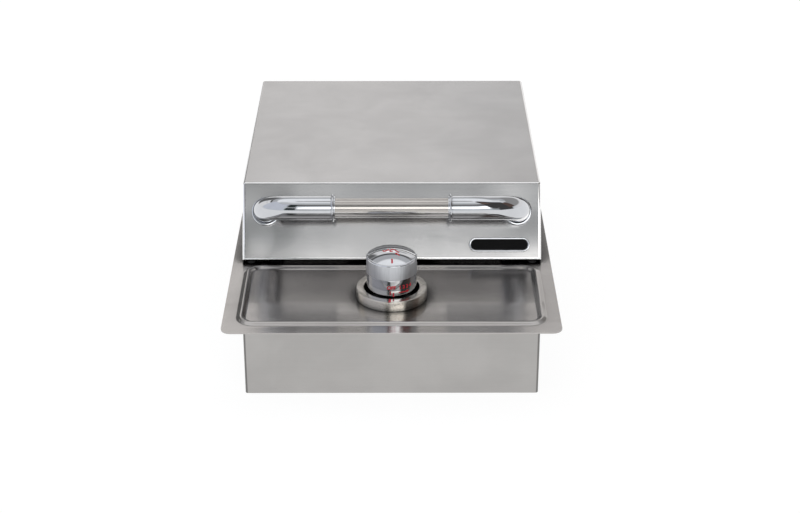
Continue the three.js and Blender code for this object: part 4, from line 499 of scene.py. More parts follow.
def finish_mesh(bm, name, sharp_angle):
    """Smooth shading with hard edges where faces turn by more than an angle."""
    bmesh.ops.remove_doubles(bm, verts=bm.verts, dist=WELD_GAP)
    bmesh.ops.recalc_face_normals(bm, faces=bm.faces)
    limit = math.radians(sharp_angle)
    for face in bm.faces:
        face.smooth = True
    for edge in bm.edges:
        if len(edge.link_faces) == 2 and edge.calc_face_angle(0.0) > limit:
            edge.smooth = False
    mesh = bpy.data.meshes.new(name)
    bm.to_mesh(mesh)
    bm.free()
    return mesh


def rings_mesh(name, rings, closed=False, cap=True, uvs=None, sharp_angle=SHARP_ANGLE,
               material_of=None):
    """Skin over rings of points with equal counts."""
    bm = bmesh.new()
    layer = bm.loops.layers.uv.new(TURNED_MAP) if uvs else None
    count = len(rings[0])
    verts = [[bm.verts.new(point) for point in ring] for ring in rings]
    bands = len(rings) if closed else len(rings) - 1
    for band in range(bands):
        far = (band + 1) % len(rings)
        for spot in range(count):
            after = (spot + 1) % count
            corners = [(band, spot), (band, after), (far, after), (far, spot)]
            if (verts[band][spot].co - verts[band][after].co).length < SAME_SPOT:
                corners = [(band, spot), (far, after), (far, spot)]
            elif (verts[far][spot].co - verts[far][after].co).length < SAME_SPOT:
                corners = [(band, spot), (band, after), (far, spot)]
            face = bm.faces.new([verts[ring][place] for ring, place in corners])
            if material_of:
                face.material_index = material_of(band)
            if layer:
                for loop, (ring, place) in zip(face.loops, corners):
                    around = place if place >= spot else count
                    loop[layer].uv = (uvs[0] * around / count, uvs[1][ring])
    if cap and not closed:
        for ring in (verts[0], verts[-1]):
            if (ring[0].co - ring[1].co).length > SAME_SPOT:
                bm.faces.new(ring)
    return finish_mesh(bm, name, sharp_angle)


def lathe_mesh(name, profile, centre, sides, sharp_angle, closed=False, material_of=None):
    """Turns a profile of radius and height about an upright axis."""
    rings, lengths, run = [], [], 0.0
    for index, (radius, height) in enumerate(profile):
        if index:
            before = profile[index - 1]
            run += math.hypot(radius - before[0], height - before[1])
        lengths.append(run)
        rings.append([(centre[0] + radius * math.cos(2 * math.pi * step / sides),
                       centre[1] + radius * math.sin(2 * math.pi * step / sides),
                       height) for step in range(sides)])
    widest = max(radius for radius, _ in profile)
    return rings_mesh(name, rings, closed=closed, cap=False, uvs=(2 * math.pi * widest, lengths),
                      sharp_angle=sharp_angle, material_of=material_of)


def arc(centre_radius, centre_height, radius, start, end, steps):
    """Points of radius and height on an arc, its angles in degrees."""
    points = []
    for step in range(steps + 1):
        angle = math.radians(start + (end - start) * step / steps)
        points.append((centre_radius + radius * math.cos(angle),
                       centre_height + radius * math.sin(angle)))
    return points


def sweep_mesh(name, path, sections, sides, sharp_angle=SHARP_ANGLE, frame_up=Vector((0, 0, 1)),
               matrix=None):
    """Skin along a path that never runs along frame_up.

    Sections are (place along the path, radius) pairs in order."""
    rings, lengths = [], []
    for along, radius in sections:
        point, heading = path(along)
        side = frame_up.cross(heading).normalized()
        top = heading.cross(side).normalized()
        ring = []
        for step in range(sides):
            angle = 2 * math.pi * step / sides
            spot = point + side * (radius * math.cos(angle)) + top * (radius * math.sin(angle))
            ring.append(matrix @ spot if matrix else spot)
        rings.append(ring)
        lengths.append(along)
    return rings_mesh(name, rings, uvs=(2 * math.pi * max(r for _, r in sections), lengths),
                      sharp_angle=sharp_angle)


# Modifiers for the CAD nodes: welded, smooth over bends and sharp at corners


def make_soften_group(angle):
    group = bpy.data.node_groups.new("soften", "GeometryNodeTree")
    group.interface.new_socket("Geometry", in_out="INPUT", socket_type="NodeSocketGeometry")
    group.interface.new_socket("Geometry", in_out="OUTPUT", socket_type="NodeSocketGeometry")
    nodes, links = group.nodes, group.links
    start = nodes.new("NodeGroupInput")
    end = nodes.new("NodeGroupOutput")
    merge = nodes.new("GeometryNodeMergeByDistance")
    merge.inputs["Distance"].default_value = WELD_GAP
    drop = nodes.new("GeometryNodeRemoveAttribute")
    drop.inputs["Name"].default_value = "custom_normal"
    round_faces = nodes.new("GeometryNodeSetShadeSmooth")
    round_faces.domain = "FACE"
    sharp = nodes.new("GeometryNodeSetShadeSmooth")
    sharp.domain = "EDGE"
    sharp.inputs["Shade Smooth"].default_value = False
    turn = nodes.new("GeometryNodeInputMeshEdgeAngle")
    compare = nodes.new("FunctionNodeCompare")
    compare.data_type = "FLOAT"
    compare.operation = "GREATER_THAN"
    compare.inputs[1].default_value = angle
    links.new(turn.outputs["Unsigned Angle"], compare.inputs[0])
    links.new(start.outputs[0], merge.inputs["Geometry"])
    links.new(merge.outputs[0], drop.inputs["Geometry"])
    links.new(drop.outputs[0], round_faces.inputs["Geometry"])
    links.new(round_faces.outputs[0], sharp.inputs["Geometry"])
    links.new(compare.outputs[0], sharp.inputs["Selection"])
    links.new(sharp.outputs[0], end.inputs[0])
    return group


def soften(node, group):
    modifier = node.modifiers.new("soften", "NODES")
    modifier.node_group = group
    weighted = node.modifiers.new("even_shading", "WEIGHTED_NORMAL")
    weighted.mode = "FACE_AREA"
    weighted.weight = 100
    weighted.keep_sharp = True


# Finishes

# The pressed tray leans back to its middle, and the deck's front border leans the other way
DECK_BOWS = ((-198 * MM, -204 * MM, 0.034), (-204 * MM, -230 * MM, -0.051),
             (-240 * MM, -246 * MM, -0.03))
# The lid's folded crease and its rolled lower edge get a painted highlight
LID_BENDS = ((0.54, 0.99, 0.9), (0.02, 0.46, 1.4), (-0.14, 0.07, 0.3))
# The elbows start to turn well before their bend
ELBOW_LEANS = ((80 * MM, 106 * MM, 0.32), (-96 * MM, -113 * MM, -0.14))
# The sheet is drawn in a little round the handle's feet and bulges beside them
LID_DIMPLES = (((-133 * MM, -86 * MM, 129 * MM), 46 * MM, -0.4 * MM),
               ((133 * MM, -86 * MM, 129 * MM), 46 * MM, -0.4 * MM),
               ((-152 * MM, -100 * MM, 106 * MM), 30 * MM, 0.3 * MM),
               ((148 * MM, -100 * MM, 104 * MM), 34 * MM, 0.35 * MM))
# The lower half of the handle's tube is painted lighter, a painted reflection of the bright deck below
TUBE_BENDS = ((-0.95, 0.02, 1.5),)
LOOKS = {}


def make_looks():
    def look(maker, name, *values, **settings):
        LOOKS[name] = maker(name, *values, **settings)

    # The deck gets painted shade in its corners and round the feet of the parts on it
    look(brushed_metal, "deck_steel", rgb(178, 175, 173), 0.2, "x", wave=0.0005, wave_size=0.16,
         bows=DECK_BOWS, crevice=110 * MM, contact=24 * MM)
    # The lid gets painted shade in its corners and painted highlights on its crease and lower edge
    look(brushed_metal, "lid_steel", rgb(178, 177, 177), 0.16, "x", wave=0.0016, wave_size=0.12,
         crevice=150 * MM, upward_bends=LID_BENDS, dimples=LID_DIMPLES)
    # The box gets painted shade on its rounded side bends
    look(brushed_metal, "box_steel", rgb(176, 174, 172), 0.3, "x", wave=0.0005, wave_size=0.2,
         side_bends=-0.55)
    look(polished_metal, "chrome", rgb(202, 204, 208), 0.045)
    look(polished_metal, "elbow_chrome", rgb(202, 204, 208), 0.045, leans=ELBOW_LEANS)
    # The tube's lower half gets a painted reflection, lighter colour
    look(brushed_metal, "satin_steel", rgb(186, 182, 178), 0.17, "x", streak=0.09, anisotropy=0.6,
         upward_bends=TUBE_BENDS)
    look(turned_metal, "turned_steel", rgb(196, 192, 186), 0.22)
    # Painted highlight: a lighter copy of the turned steel, for the ring's outer wall
    look(turned_metal, "ring_side", rgb(232, 227, 218), 0.24)
    look(brushed_metal, "knob_side", rgb(206, 208, 212), 0.42, "z", streak=0.16, anisotropy=0.55,
         bump=0.2)
    look(grainy, "badge_black", rgb(16, 16, 17), 0.5, 0.0, 1600.0, 0.1, 0.0001, 0.2, rgb(40, 40, 41),
         0.0004, rgb(24, 24, 24), 60.0, specular=0.08)
    # Painted shade: near-black for the ring's inner wall
    look(grainy, "dark_bore", rgb(20, 19, 18), 0.6, 0.0, 1200.0, 0.2, 0.0001, 0.25, None, 0.0004,
         rgb(30, 28, 27), 50.0, specular=0.2)
    look(grainy, "plated_steel", rgb(172, 172, 168), 0.34, 1.0, 1400.0, 0.12, 0.0001, 0.08,
         rgb(210, 208, 200), 0.0004, rgb(150, 146, 132), 60.0)
    look(grainy, "black_enamel", rgb(24, 24, 26), 0.28, 0.0, 1600.0, 0.12, 0.0001, 0.2,
         rgb(62, 60, 60), 0.0005, rgb(34, 33, 33), 40.0, 0.1, 0.25)
    look(grainy, "cast_iron", rgb(34, 34, 36), 0.62, 0.1, 700.0, 0.7, 0.0004, 0.3, rgb(92, 88, 84),
         0.0014, rgb(48, 44, 42), 25.0)
    look(grainy, "cast_aluminium", rgb(158, 159, 160), 0.5, 1.0, 800.0, 0.6, 0.0003, 0.14,
         rgb(200, 200, 200), 0.0008, rgb(120, 116, 110), 28.0)
    look(grainy, "brass", rgb(188, 152, 88), 0.3, 1.0, 1500.0, 0.15, 0.0001, 0.1, rgb(226, 198, 136),
         0.0006, rgb(140, 106, 62), 45.0)
    look(grainy, "rubber", rgb(26, 26, 27), 0.78, 0.0, 1800.0, 0.3, 0.0001, 0.2, rgb(52, 52, 53),
         0.0005, rgb(38, 37, 36), 50.0)
    look(grainy, "black_plastic", rgb(28, 29, 31), 0.48, 0.0, 2200.0, 0.35, 0.00008, 0.12,
         rgb(58, 59, 61), 0.0004)
    look(grainy, "nylon", rgb(222, 217, 203), 0.5, 0.0, 1500.0, 0.15, 0.00008, 0.05,
         rgb(236, 232, 222), 0.0004, rgb(200, 192, 172), 60.0)
    look(grainy, "ceramic", rgb(238, 234, 224), 0.3, 0.0, 900.0, 0.08, 0.0001, 0.04,
         rgb(248, 246, 240), 0.0004, rgb(214, 204, 184), 70.0, 0.4)
    look(grainy, "lead_sleeve", rgb(150, 48, 36), 0.55, 0.0, 2400.0, 0.3, 0.00008, 0.1,
         rgb(176, 74, 60), 0.0004)
    look(grainy, "pipe_aluminium", rgb(188, 189, 190), 0.34, 1.0, 1000.0, 0.15, 0.0001, 0.08,
         rgb(214, 214, 214), 0.0006, rgb(160, 160, 158), 26.0)
    look(grainy, "red_print", rgb(196, 34, 48), 0.42, 0.0, 1800.0, 0.1, 0.00004, 0.06,
         rgb(208, 60, 70), 0.0002)


def dress_nodes():
    group = make_soften_group(math.radians(NODE_SHARP_ANGLE))
    slots = {}
    for entry in frame["record"].get("material_map", []):
        slots[entry["node"]] = entry["material_slot"]
    for name, node in frame["nodes"].items():
        imported = node.data.materials[0].name if node.data.materials else ""
        slot = slots.get(name) or imported.split(".")[0]
        look = LOOKS.get(slot)
        if look is None:
            raise ValueError(f"no finish for {name}: {slot!r}")
        node.data.materials.clear()
        node.data.materials.append(look)
        soften(node, group)


# Knob and ring


def knob_facts():
    low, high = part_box("knob_shell")
    return (low.x + high.x) / 2, (low.y + high.y) / 2, (high.x - low.x) / 2, low.z, high.z


KNOB_FACTS = knob_facts()
KNOB_CROWN = 5.6 * MM
KNOB_EDGE = 1.2 * MM
KNOB_WALL = 3.0 * MM
KNOB_GRIP = 16.3 * MM
KNOB_BORE_TOP = 4.0 * MM
KNOB_FOOT = 0.5 * MM
KNOB_LAND = 0.9 * MM
KNOB_GROOVE = 0.5 * MM
KNOB_GROOVE_DEPTH = 0.25 * MM
KNOB_GROOVE_SLOPE = 0.2 * MM
DOME_STEPS = 24
LATHE_SIDES = 144
LATHE_ANGLE = 30.0
RING_WALL = 7.8 * MM
RING_EDGE = 0.6 * MM
RING_FOOT = 0.3 * MM


def dome_height(radius):
    """Height of the knob's domed top at a distance from its axis."""
    _, _, wide, _, top = KNOB_FACTS
    sphere = (wide ** 2 + KNOB_CROWN ** 2) / (2 * KNOB_CROWN)
    return top - sphere + math.sqrt(sphere ** 2 - radius ** 2)


def make_knob():
    x, y, wide, bottom, top = KNOB_FACTS
    rim = top - KNOB_CROWN
    profile = [(wide - KNOB_WALL, rim - KNOB_BORE_TOP), (wide - KNOB_WALL, bottom + KNOB_FOOT),
               (wide - KNOB_WALL + KNOB_FOOT, bottom), (wide - KNOB_LAND, bottom)]
    profile += arc(wide - KNOB_FOOT, bottom + KNOB_FOOT, KNOB_FOOT, -90, 0, 4)
    skirt_end = len(profile)
    profile += [(wide, rim - KNOB_GRIP), (wide, rim - KNOB_EDGE)]
    grip_end = len(profile) - 1
    profile += arc(wide - KNOB_EDGE, rim - KNOB_EDGE, KNOB_EDGE, 0, 90, 8)[1:]
    start = wide - KNOB_EDGE - KNOB_GROOVE
    profile += [(start + KNOB_GROOVE_SLOPE, rim - KNOB_GROOVE_DEPTH), (start, dome_height(start))]
    radii = [start * (1 - step / DOME_STEPS) for step in range(1, DOME_STEPS)]
    profile += [(radius, dome_height(radius)) for radius in radii]
    profile += [(0.0, top)]
    mesh = lathe_mesh("knob_shell_dressed", profile, (x, y), LATHE_SIDES, LATHE_ANGLE,
                      material_of=lambda band: 0 if skirt_end <= band < grip_end else 1)
    link_piece(mesh, [LOOKS["knob_side"], LOOKS["chrome"]], "knob", ["knob_shell"])


def make_ring():
    low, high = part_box("knob_ring")
    x, y = (low.x + high.x) / 2, (low.y + high.y) / 2
    outer = (high.x - low.x) / 2
    inner = outer - RING_WALL
    shoulder = high.z - RING_EDGE
    profile = [(inner, low.z), (inner, shoulder)]
    profile += arc(inner + RING_EDGE, shoulder, RING_EDGE, 180, 90, 4)[1:]
    profile += arc(outer - RING_EDGE, shoulder, RING_EDGE, 90, 0, 4)
    wall = len(profile) - 1
    profile += [(outer, low.z + RING_FOOT), (outer - RING_FOOT, low.z)]
    mesh = lathe_mesh("knob_ring_dressed", profile, (x, y), LATHE_SIDES, LATHE_ANGLE, closed=True,
                      material_of=lambda band: {0: 1, wall: 2}.get(band, 0))
    # The ring's outer wall takes the painted highlight copy and its inner wall the near-black painted
    # shade
    looks = [LOOKS[name] for name in ("turned_steel", "dark_bore", "ring_side")]
    link_piece(mesh, looks, "frame", ["knob_ring"])


# Printed marks: a plain word, numbers, ticks, an arrow and a wedge. Degrees run from the front.
PRINT_DEPTH = 0.06 * MM
PRINT_STEP = 0.6 * MM
PRINT_WELD = 0.001 * MM
PRINT_CUT_SLACK = 1e-7
PRINT_ANGLE = 50.0
SKIRT_WORDS = (("dial_off", "OFF", -0.5), ("dial_steps", "1 2 3 4", 33.0))
SKIRT_LETTERS = 5.2 * MM
SKIRT_BOLD = 0.24 * MM
SKIRT_LEVEL = 10.0 * MM
ARROW_DEGREES = 30.0
ARROW_LEVEL = 4.6 * MM
ARROW_LENGTH = 6.2 * MM
ARROW_NECK = 2.8 * MM
ARROW_HALF = 0.6 * MM
ARROW_HEAD = 1.8 * MM
DOME_LETTERS = 9.0 * MM
DOME_BOLD = 0.42 * MM
# Each number on the dome, its degrees and its distance from the axis
DOME_NUMBERS = (("3", -96.0, 6.0 * MM), ("2", 160.0, 0.8 * MM), ("1", 76.0, 5.6 * MM))
# How much of its turn a number gives up to stay upright for the user
NUMBER_UPRIGHT = 0.6
WEDGE_DEGREES = 40.0
WEDGE_START = 6.4 * MM
WEDGE_LENGTH = 6.0 * MM
WEDGE_HALF = 1.1 * MM
WEDGE_TAPER = 0.5 * MM
WEDGE_STEPS = 24
WEDGE_CUT = 50.0 * MM
# Ticks: width and length, degrees, and height on the skirt, distance from the axis or inset
SKIRT_TICK = (1.5 * MM, 4.6 * MM)
SKIRT_TICK_DEGREES = 4.0
SKIRT_TICK_LEVEL = 2.6 * MM
TOP_TICK = (1.7 * MM, 6.3 * MM)
TOP_TICK_DEGREES = 1.5
TOP_TICK_REACH = 18.4 * MM
RING_TICK = (2.6 * MM, 7.2 * MM)
RING_TICK_DEGREES = -3.2
RING_TICK_INSET = 3.7 * MM


def outline_mesh(name, polygons, place, step=PRINT_STEP):
    """Thin print: flat polygons cut into small faces and laid on a surface by a function."""
    bm = bmesh.new()
    for polygon in polygons:
        bm.faces.new([bm.verts.new((x, y, 0.0)) for x, y in polygon])
    return print_mesh(name, bm, place, step)


def print_mesh(name, bm, place, step=PRINT_STEP):
    bmesh.ops.remove_doubles(bm, verts=bm.verts, dist=PRINT_WELD)
    for axis in (0, 1):
        values = [vert.co[axis] for vert in bm.verts]
        normal = Vector((1, 0, 0)) if axis == 0 else Vector((0, 1, 0))
        spot = math.floor(min(values) / step) * step
        while spot < max(values):
            bmesh.ops.bisect_plane(bm, geom=bm.verts[:] + bm.edges[:] + bm.faces[:],
                                   plane_co=normal * spot, plane_no=normal, dist=PRINT_CUT_SLACK)
            spot += step
    bmesh.ops.recalc_face_normals(bm, faces=bm.faces)
    top = bmesh.ops.extrude_face_region(bm, geom=bm.faces[:])
    raised = {item for item in top["geom"] if isinstance(item, bmesh.types.BMVert)}
    for vert in bm.verts:
        vert.co = place(vert.co.x, vert.co.y, PRINT_DEPTH if vert in raised else -PRINT_DEPTH)
    return finish_mesh(bm, name, PRINT_ANGLE)


def text_faces(words, size, bold=0.0):
    """Flat faces of plain words or numbers, centred on the origin."""
    curve = bpy.data.curves.new("words", "FONT")
    curve.body = words
    curve.size = size
    curve.align_x = "CENTER"
    curve.align_y = "CENTER"
    curve.offset = bold
    curve.resolution_u = 3
    holder = bpy.data.objects.new("words", curve)
    bpy.context.scene.collection.objects.link(holder)
    bpy.context.view_layer.update()
    evaluated = holder.evaluated_get(bpy.context.evaluated_depsgraph_get())
    bm = bmesh.new()
    bm.from_mesh(evaluated.to_mesh())
    evaluated.to_mesh_clear()
    bpy.data.objects.remove(holder)
    bpy.data.curves.remove(curve)
    return bm


def on_skirt(middle_degrees, level):
    """Places flat print on the knob's side."""
    x, y, wide, _, _ = KNOB_FACTS

    def place(across, up, out):
        angle = math.radians(middle_degrees) + across / wide
        reach = wide + out
        return Vector((x + reach * math.sin(angle), y - reach * math.cos(angle), level + up))
    return place


def on_dome(middle_degrees, distance, turn=0.0):
    """Places flat print on the knob's top, upright as read from its own side of the axis."""
    x, y, _, _, _ = KNOB_FACTS
    angle = math.radians(middle_degrees)
    twist = math.radians(turn)

    def place(across, up, out):
        side = across * math.cos(twist) - up * math.sin(twist)
        back = across * math.sin(twist) + up * math.cos(twist)
        outward = distance - back
        px = outward * math.sin(angle) + side * math.cos(angle)
        py = -outward * math.cos(angle) + side * math.sin(angle)
        return Vector((x + px, y + py, dome_height(math.hypot(px, py)) + out))
    return place


def bar(width, length):
    return [[(-width / 2, -length / 2), (width / 2, -length / 2), (width / 2, length / 2),
             (-width / 2, length / 2)]]


def make_prints():
    x, y, _, bottom, _ = KNOB_FACTS
    red = LOOKS["red_print"]

    def put(mesh, body="knob"):
        link_piece(mesh, red, body)

    for name, words, degrees in SKIRT_WORDS:
        put(print_mesh(name, text_faces(words, SKIRT_LETTERS, SKIRT_BOLD),
                       on_skirt(degrees, bottom + SKIRT_LEVEL)))
    arrow = [[(-ARROW_LENGTH, -ARROW_HALF), (ARROW_NECK, -ARROW_HALF), (ARROW_NECK, ARROW_HALF),
              (-ARROW_LENGTH, ARROW_HALF)],
             [(ARROW_NECK, -ARROW_HEAD), (ARROW_LENGTH, 0.0), (ARROW_NECK, ARROW_HEAD)]]
    put(outline_mesh("dial_arrow", arrow, on_skirt(ARROW_DEGREES, bottom + ARROW_LEVEL)))
    put(outline_mesh("dial_skirt_tick", bar(*SKIRT_TICK),
                     on_skirt(SKIRT_TICK_DEGREES, bottom + SKIRT_TICK_LEVEL)))
    put(outline_mesh("dial_top_tick", bar(*TOP_TICK), on_dome(TOP_TICK_DEGREES, TOP_TICK_REACH)))
    for number, degrees, distance in DOME_NUMBERS:
        righted = NUMBER_UPRIGHT * math.copysign(180.0 - abs(degrees), degrees)
        put(print_mesh("dial_number_" + number, text_faces(number, DOME_LETTERS, DOME_BOLD),
                       on_dome(degrees, distance, degrees - 180.0 + righted)))
    wedge = []
    for step in range(WEDGE_STEPS):
        corners = []
        for place, side in ((step, 1), (step + 1, 1), (step + 1, -1), (step, -1)):
            share = place / WEDGE_STEPS
            reach = WEDGE_START + WEDGE_LENGTH * share
            angle = math.radians(WEDGE_DEGREES) + side * (WEDGE_HALF - WEDGE_TAPER * share) / reach
            corners.append((reach * math.sin(angle), -reach * math.cos(angle)))
        wedge.append(corners)

    def lay(across, up, out):
        return Vector((x + across, y + up, dome_height(math.hypot(across, up)) + out))
    put(outline_mesh("dial_wedge", wedge, lay, WEDGE_CUT))

    low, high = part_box("knob_ring")
    outer = (high.x - low.x) / 2
    middle_y = (low.y + high.y) / 2

    def on_ring(across, up, out):
        angle = math.radians(RING_TICK_DEGREES) + across / outer
        reach = outer - RING_TICK_INSET - up
        return Vector((reach * math.sin(angle), middle_y - reach * math.cos(angle), high.z + out))
    put(outline_mesh("ring_tick", bar(*RING_TICK), on_ring), "frame")


# Lid face pieces: handle and badge

FACE_TILT = math.radians(30)
FACE_TURN = math.pi / 2 - FACE_TILT


def face_matrix():
    """The lid's sloping face: origin at the crease, Y up the face and Z out of it."""
    outward = Vector((0.0, -math.cos(FACE_TILT), math.sin(FACE_TILT)))
    reach = max(vert.co.dot(outward) for vert in frame["nodes"]["lid_shell"].data.vertices)
    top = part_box("lid_shell")[1].z
    crease = (top * outward.z - reach) / -outward.y
    return Matrix.Translation((0, crease, top)) @ Matrix.Rotation(FACE_TURN, 4, "X")


def face_length():
    low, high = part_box("lid_shell")
    return (high.z - low.z) / math.cos(FACE_TILT)


HANDLE_STANDOFF = 38.0 * MM
HANDLE_BEND = 22.0 * MM
HANDLE_SIDE_INSET = 25.3 * MM
# The share of the face's length from the crease to the handle
HANDLE_DROP = 0.365
ELBOW_RADIUS = 12.5 * MM
ELBOW_REACH = 74.5 * MM
BEAD_RISE = 2.1 * MM
BEAD_WIDTH = 2.6 * MM
BEAD_INSET = 1.2 * MM
BEAD_STEPS = 10
# The groove before the bead: where it starts and ends before it, its slope, and its depth
GROOVE_START = 0.9 * MM
GROOVE_SLOPE = 0.3 * MM
GROOVE_END = 0.1 * MM
GROOVE_DEPTH = 0.35 * MM
ELBOW_LIP = 0.3 * MM
ELBOW_WALL = 2.0 * MM
ELBOW_SOCKET = 6.0 * MM
BEND_STEPS = 36
GRIP_RADIUS = 10.0 * MM
GRIP_EDGE = 0.4 * MM
GRIP_IN_ELBOW = 15.7 * MM
GRIP_STEPS = 12
GRIP_END = 0.5 * MM
SEAT_GAP = 0.3 * MM
# Rings at the handle's feet
FOOT_RADIUS = 15.4 * MM
FOOT_EDGE = 1.3 * MM
FOOT_ROUND = 1.5 * MM
FOOT_LIP = 0.9 * MM
FOOT_INNER = 2.5 * MM
ELBOW_SIDES = 72
FOOT_SIDES = 96
GRIP_SIDES = 96
FINE_ANGLE = 32.0
FACE_UP = Vector((0, 1, 0))


def make_handle():
    matrix = face_matrix()
    low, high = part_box("lid_shell")
    leg_x = (high.x - low.x) / 2 - HANDLE_SIDE_INSET
    drop = face_length() * HANDLE_DROP
    quarter = HANDLE_BEND * math.pi / 2
    rise = HANDLE_STANDOFF - HANDLE_BEND - SEAT_GAP
    run = ELBOW_REACH - HANDLE_BEND
    total = rise + quarter + run
    for word, side in (("left", -1), ("right", 1)):
        def path(along, side=side):
            if along < rise:
                return Vector((side * leg_x, -drop, SEAT_GAP + along)), Vector((0, 0, 1))
            if along < rise + quarter:
                angle = (along - rise) / HANDLE_BEND
                place = Vector((side * (leg_x - HANDLE_BEND * (1 - math.cos(angle))), -drop,
                                SEAT_GAP + rise + HANDLE_BEND * math.sin(angle)))
                return place, Vector((-side * math.sin(angle), 0, math.cos(angle)))
            left = along - rise - quarter
            place = Vector((side * (leg_x - HANDLE_BEND - left), -drop, HANDLE_STANDOFF))
            return place, Vector((-side, 0, 0))

        sections = [(0.0, ELBOW_RADIUS - ELBOW_WALL), (0.0, ELBOW_RADIUS), (rise, ELBOW_RADIUS)]
        sections += [(rise + quarter * step / BEND_STEPS, ELBOW_RADIUS)
                     for step in range(1, BEND_STEPS + 1)]
        bead_from = total - BEAD_INSET - BEAD_WIDTH
        sections += [(bead_from - GROOVE_START, ELBOW_RADIUS),
                     (bead_from - GROOVE_START + GROOVE_SLOPE, ELBOW_RADIUS - GROOVE_DEPTH),
                     (bead_from - GROOVE_END, ELBOW_RADIUS - GROOVE_DEPTH)]
        for step in range(BEAD_STEPS + 1):
            angle = math.pi * step / BEAD_STEPS
            sections.append((bead_from + BEAD_WIDTH * (1 - math.cos(angle)) / 2,
                             ELBOW_RADIUS + BEAD_RISE * math.sin(angle)))
        socket = GRIP_RADIUS + SEAT_GAP
        sections += [(total - ELBOW_LIP, ELBOW_RADIUS), (total, ELBOW_RADIUS - ELBOW_LIP),
                     (total, socket), (total - ELBOW_SOCKET, socket)]
        name = "handle_elbow_" + word
        mesh = sweep_mesh(name + "_dressed", path, sections, ELBOW_SIDES, FINE_ANGLE, FACE_UP, matrix)
        link_piece(mesh, LOOKS["elbow_chrome"], "lid", [name])

        seat = ELBOW_RADIUS + SEAT_GAP
        flange = [(seat, 0.0), (FOOT_RADIUS, 0.0), (FOOT_RADIUS, FOOT_EDGE)]
        flange += arc(FOOT_RADIUS - FOOT_ROUND, FOOT_ROUND, FOOT_ROUND, 0, 90, 6)
        flange += [(ELBOW_RADIUS + FOOT_LIP, 2 * FOOT_ROUND), (seat, FOOT_INNER)]
        name = "handle_ring_" + word
        mesh = lathe_mesh(name + "_dressed", flange, (0, 0), FOOT_SIDES, FINE_ANGLE, closed=True)
        mesh.transform(matrix @ Matrix.Translation((side * leg_x, -drop, SEAT_GAP)))
        link_piece(mesh, LOOKS["chrome"], "lid", [name])

    half = leg_x - ELBOW_REACH + GRIP_IN_ELBOW

    def straight(along):
        return Vector((along, -drop, HANDLE_STANDOFF)), Vector((1, 0, 0))
    plain = half - GRIP_EDGE
    sections = [(-half, GRIP_END), (-half, GRIP_RADIUS - GRIP_EDGE)]
    sections += [(plain * (2 * step / GRIP_STEPS - 1), GRIP_RADIUS) for step in range(GRIP_STEPS + 1)]
    sections += [(half, GRIP_RADIUS - GRIP_EDGE), (half, GRIP_END)]
    mesh = sweep_mesh("handle_tube_dressed", straight, sections, GRIP_SIDES, FINE_ANGLE, FACE_UP,
                      matrix)
    link_piece(mesh, LOOKS["satin_steel"], "lid", ["handle_tube"])


BADGE_LENGTH = 64.0 * MM
BADGE_HEIGHT = 15.0 * MM
BADGE_RIM = 1.6 * MM
BADGE_FROM_SIDE = 44.5 * MM
BADGE_FROM_EDGE = 18.45 * MM
BADGE_WALL = 0.9 * MM
BADGE_ROUND = 0.5 * MM
BADGE_LIP = 0.3 * MM
BADGE_LIP_DROP = 0.2 * MM
BADGE_ANGLE = 50.0
# Inlay: how far each of its edges is in from the rim, and its height
INLAY_STEPS = ((0.1 * MM, 0.92 * MM), (0.1 * MM, 1.15 * MM), (0.35 * MM, 1.28 * MM),
               (1.2 * MM, 1.33 * MM))


def stadium(length, height, level, steps=24):
    radius = height / 2
    points = []
    for end in (1, -1):
        for step in range(steps + 1):
            angle = math.radians(-90 + 180 * step / steps)
            points.append(Vector((end * (length / 2 - radius + radius * math.cos(angle)),
                                  end * radius * math.sin(angle), level)))
    return points


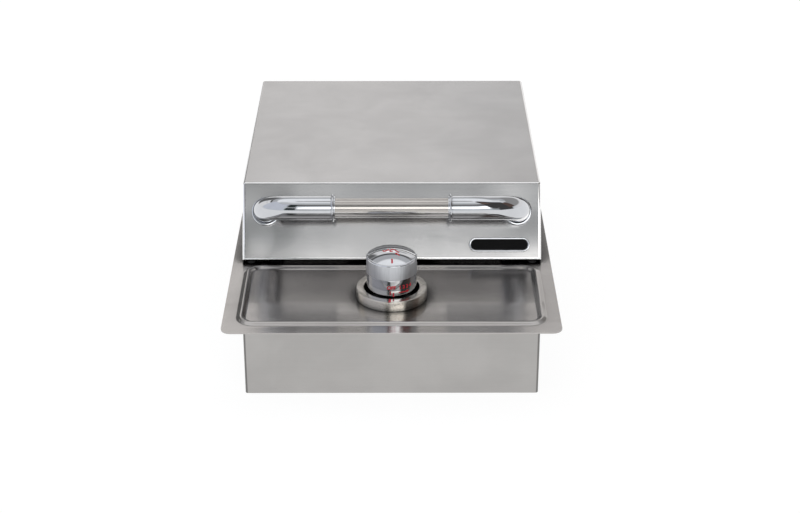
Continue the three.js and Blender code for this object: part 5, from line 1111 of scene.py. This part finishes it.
def make_badge():
    matrix = face_matrix()
    low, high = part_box("lid_shell")
    middle = Vector(((high.x - low.x) / 2 - BADGE_FROM_SIDE, BADGE_FROM_EDGE - face_length(), SEAT_GAP))

    def rings(specs):
        return [[matrix @ (middle + point) for point in stadium(
            BADGE_LENGTH - 2 * inset, BADGE_HEIGHT - 2 * inset, level)] for inset, level in specs]
    top = BADGE_WALL + BADGE_ROUND
    plate = [(0.0, 0.0), (0.0, BADGE_WALL)]
    for angle in (math.radians(degrees) for degrees in (30, 60, 90)):
        plate.append((BADGE_ROUND * (1 - math.cos(angle)), BADGE_WALL + BADGE_ROUND * math.sin(angle)))
    plate += [(BADGE_RIM - BADGE_LIP, top), (BADGE_RIM, top - BADGE_LIP_DROP), (BADGE_RIM, BADGE_WALL)]
    mesh = rings_mesh("badge_plate_dressed", rings(plate), sharp_angle=BADGE_ANGLE)
    link_piece(mesh, LOOKS["chrome"], "lid", ["badge_plate"])
    inlay = [(BADGE_RIM + inset, level) for inset, level in INLAY_STEPS]
    mesh = rings_mesh("badge_inlay_dressed", rings(inlay), sharp_angle=BADGE_ANGLE)
    link_piece(mesh, LOOKS["badge_black"], "lid", ["badge_inlay"])


# Stem spring, swept as a coil on a mesh of its own

SPRING_TURNS = 3.5
SPRING_WIRE = 0.5 * MM
SPRING_BODY = "frame"
# Steps in a turn, how far the wire's end caps stop short, and their share of the wire
SPRING_STEPS = 48
SPRING_CAP = 0.3
SPRING_CAP_SHARE = 0.8
SPRING_SIDES = 16


def make_spring():
    low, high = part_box("stem_spring")
    centre = (low + high) / 2
    coil_radius = (high.x - low.x) / 2 - SPRING_WIRE
    climb = high.z - low.z - 2 * SPRING_WIRE
    slope = climb / (2 * math.pi * SPRING_TURNS * coil_radius)

    def path(along):
        turned = 2 * math.pi * SPRING_TURNS * along
        across = Vector((math.cos(turned), math.sin(turned), 0.0))
        heading = Vector((-math.sin(turned), math.cos(turned), slope))
        height = low.z + SPRING_WIRE + climb * along
        return Vector((centre.x, centre.y, height)) + across * coil_radius, heading.normalized()

    steps = round(SPRING_TURNS * SPRING_STEPS)
    cap = SPRING_CAP_SHARE * SPRING_WIRE
    sections = [(0.0, cap)]
    sections += [((step + SPRING_CAP) / (steps + 2 * SPRING_CAP), SPRING_WIRE)
                 for step in range(steps + 1)]
    sections += [(1.0, cap)]
    mesh = sweep_mesh("stem_spring_dressed", path, sections, sides=SPRING_SIDES)
    piece = link_piece(mesh, LOOKS["plated_steel"], SPRING_BODY, ["stem_spring"])
    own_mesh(piece)


make_camera()
make_floor()
make_world()
make_looks()
dress_nodes()
make_knob()
make_ring()
make_prints()
make_handle()
make_badge()
make_spring()

bpy.context.scene.view_settings.view_transform = "Standard"
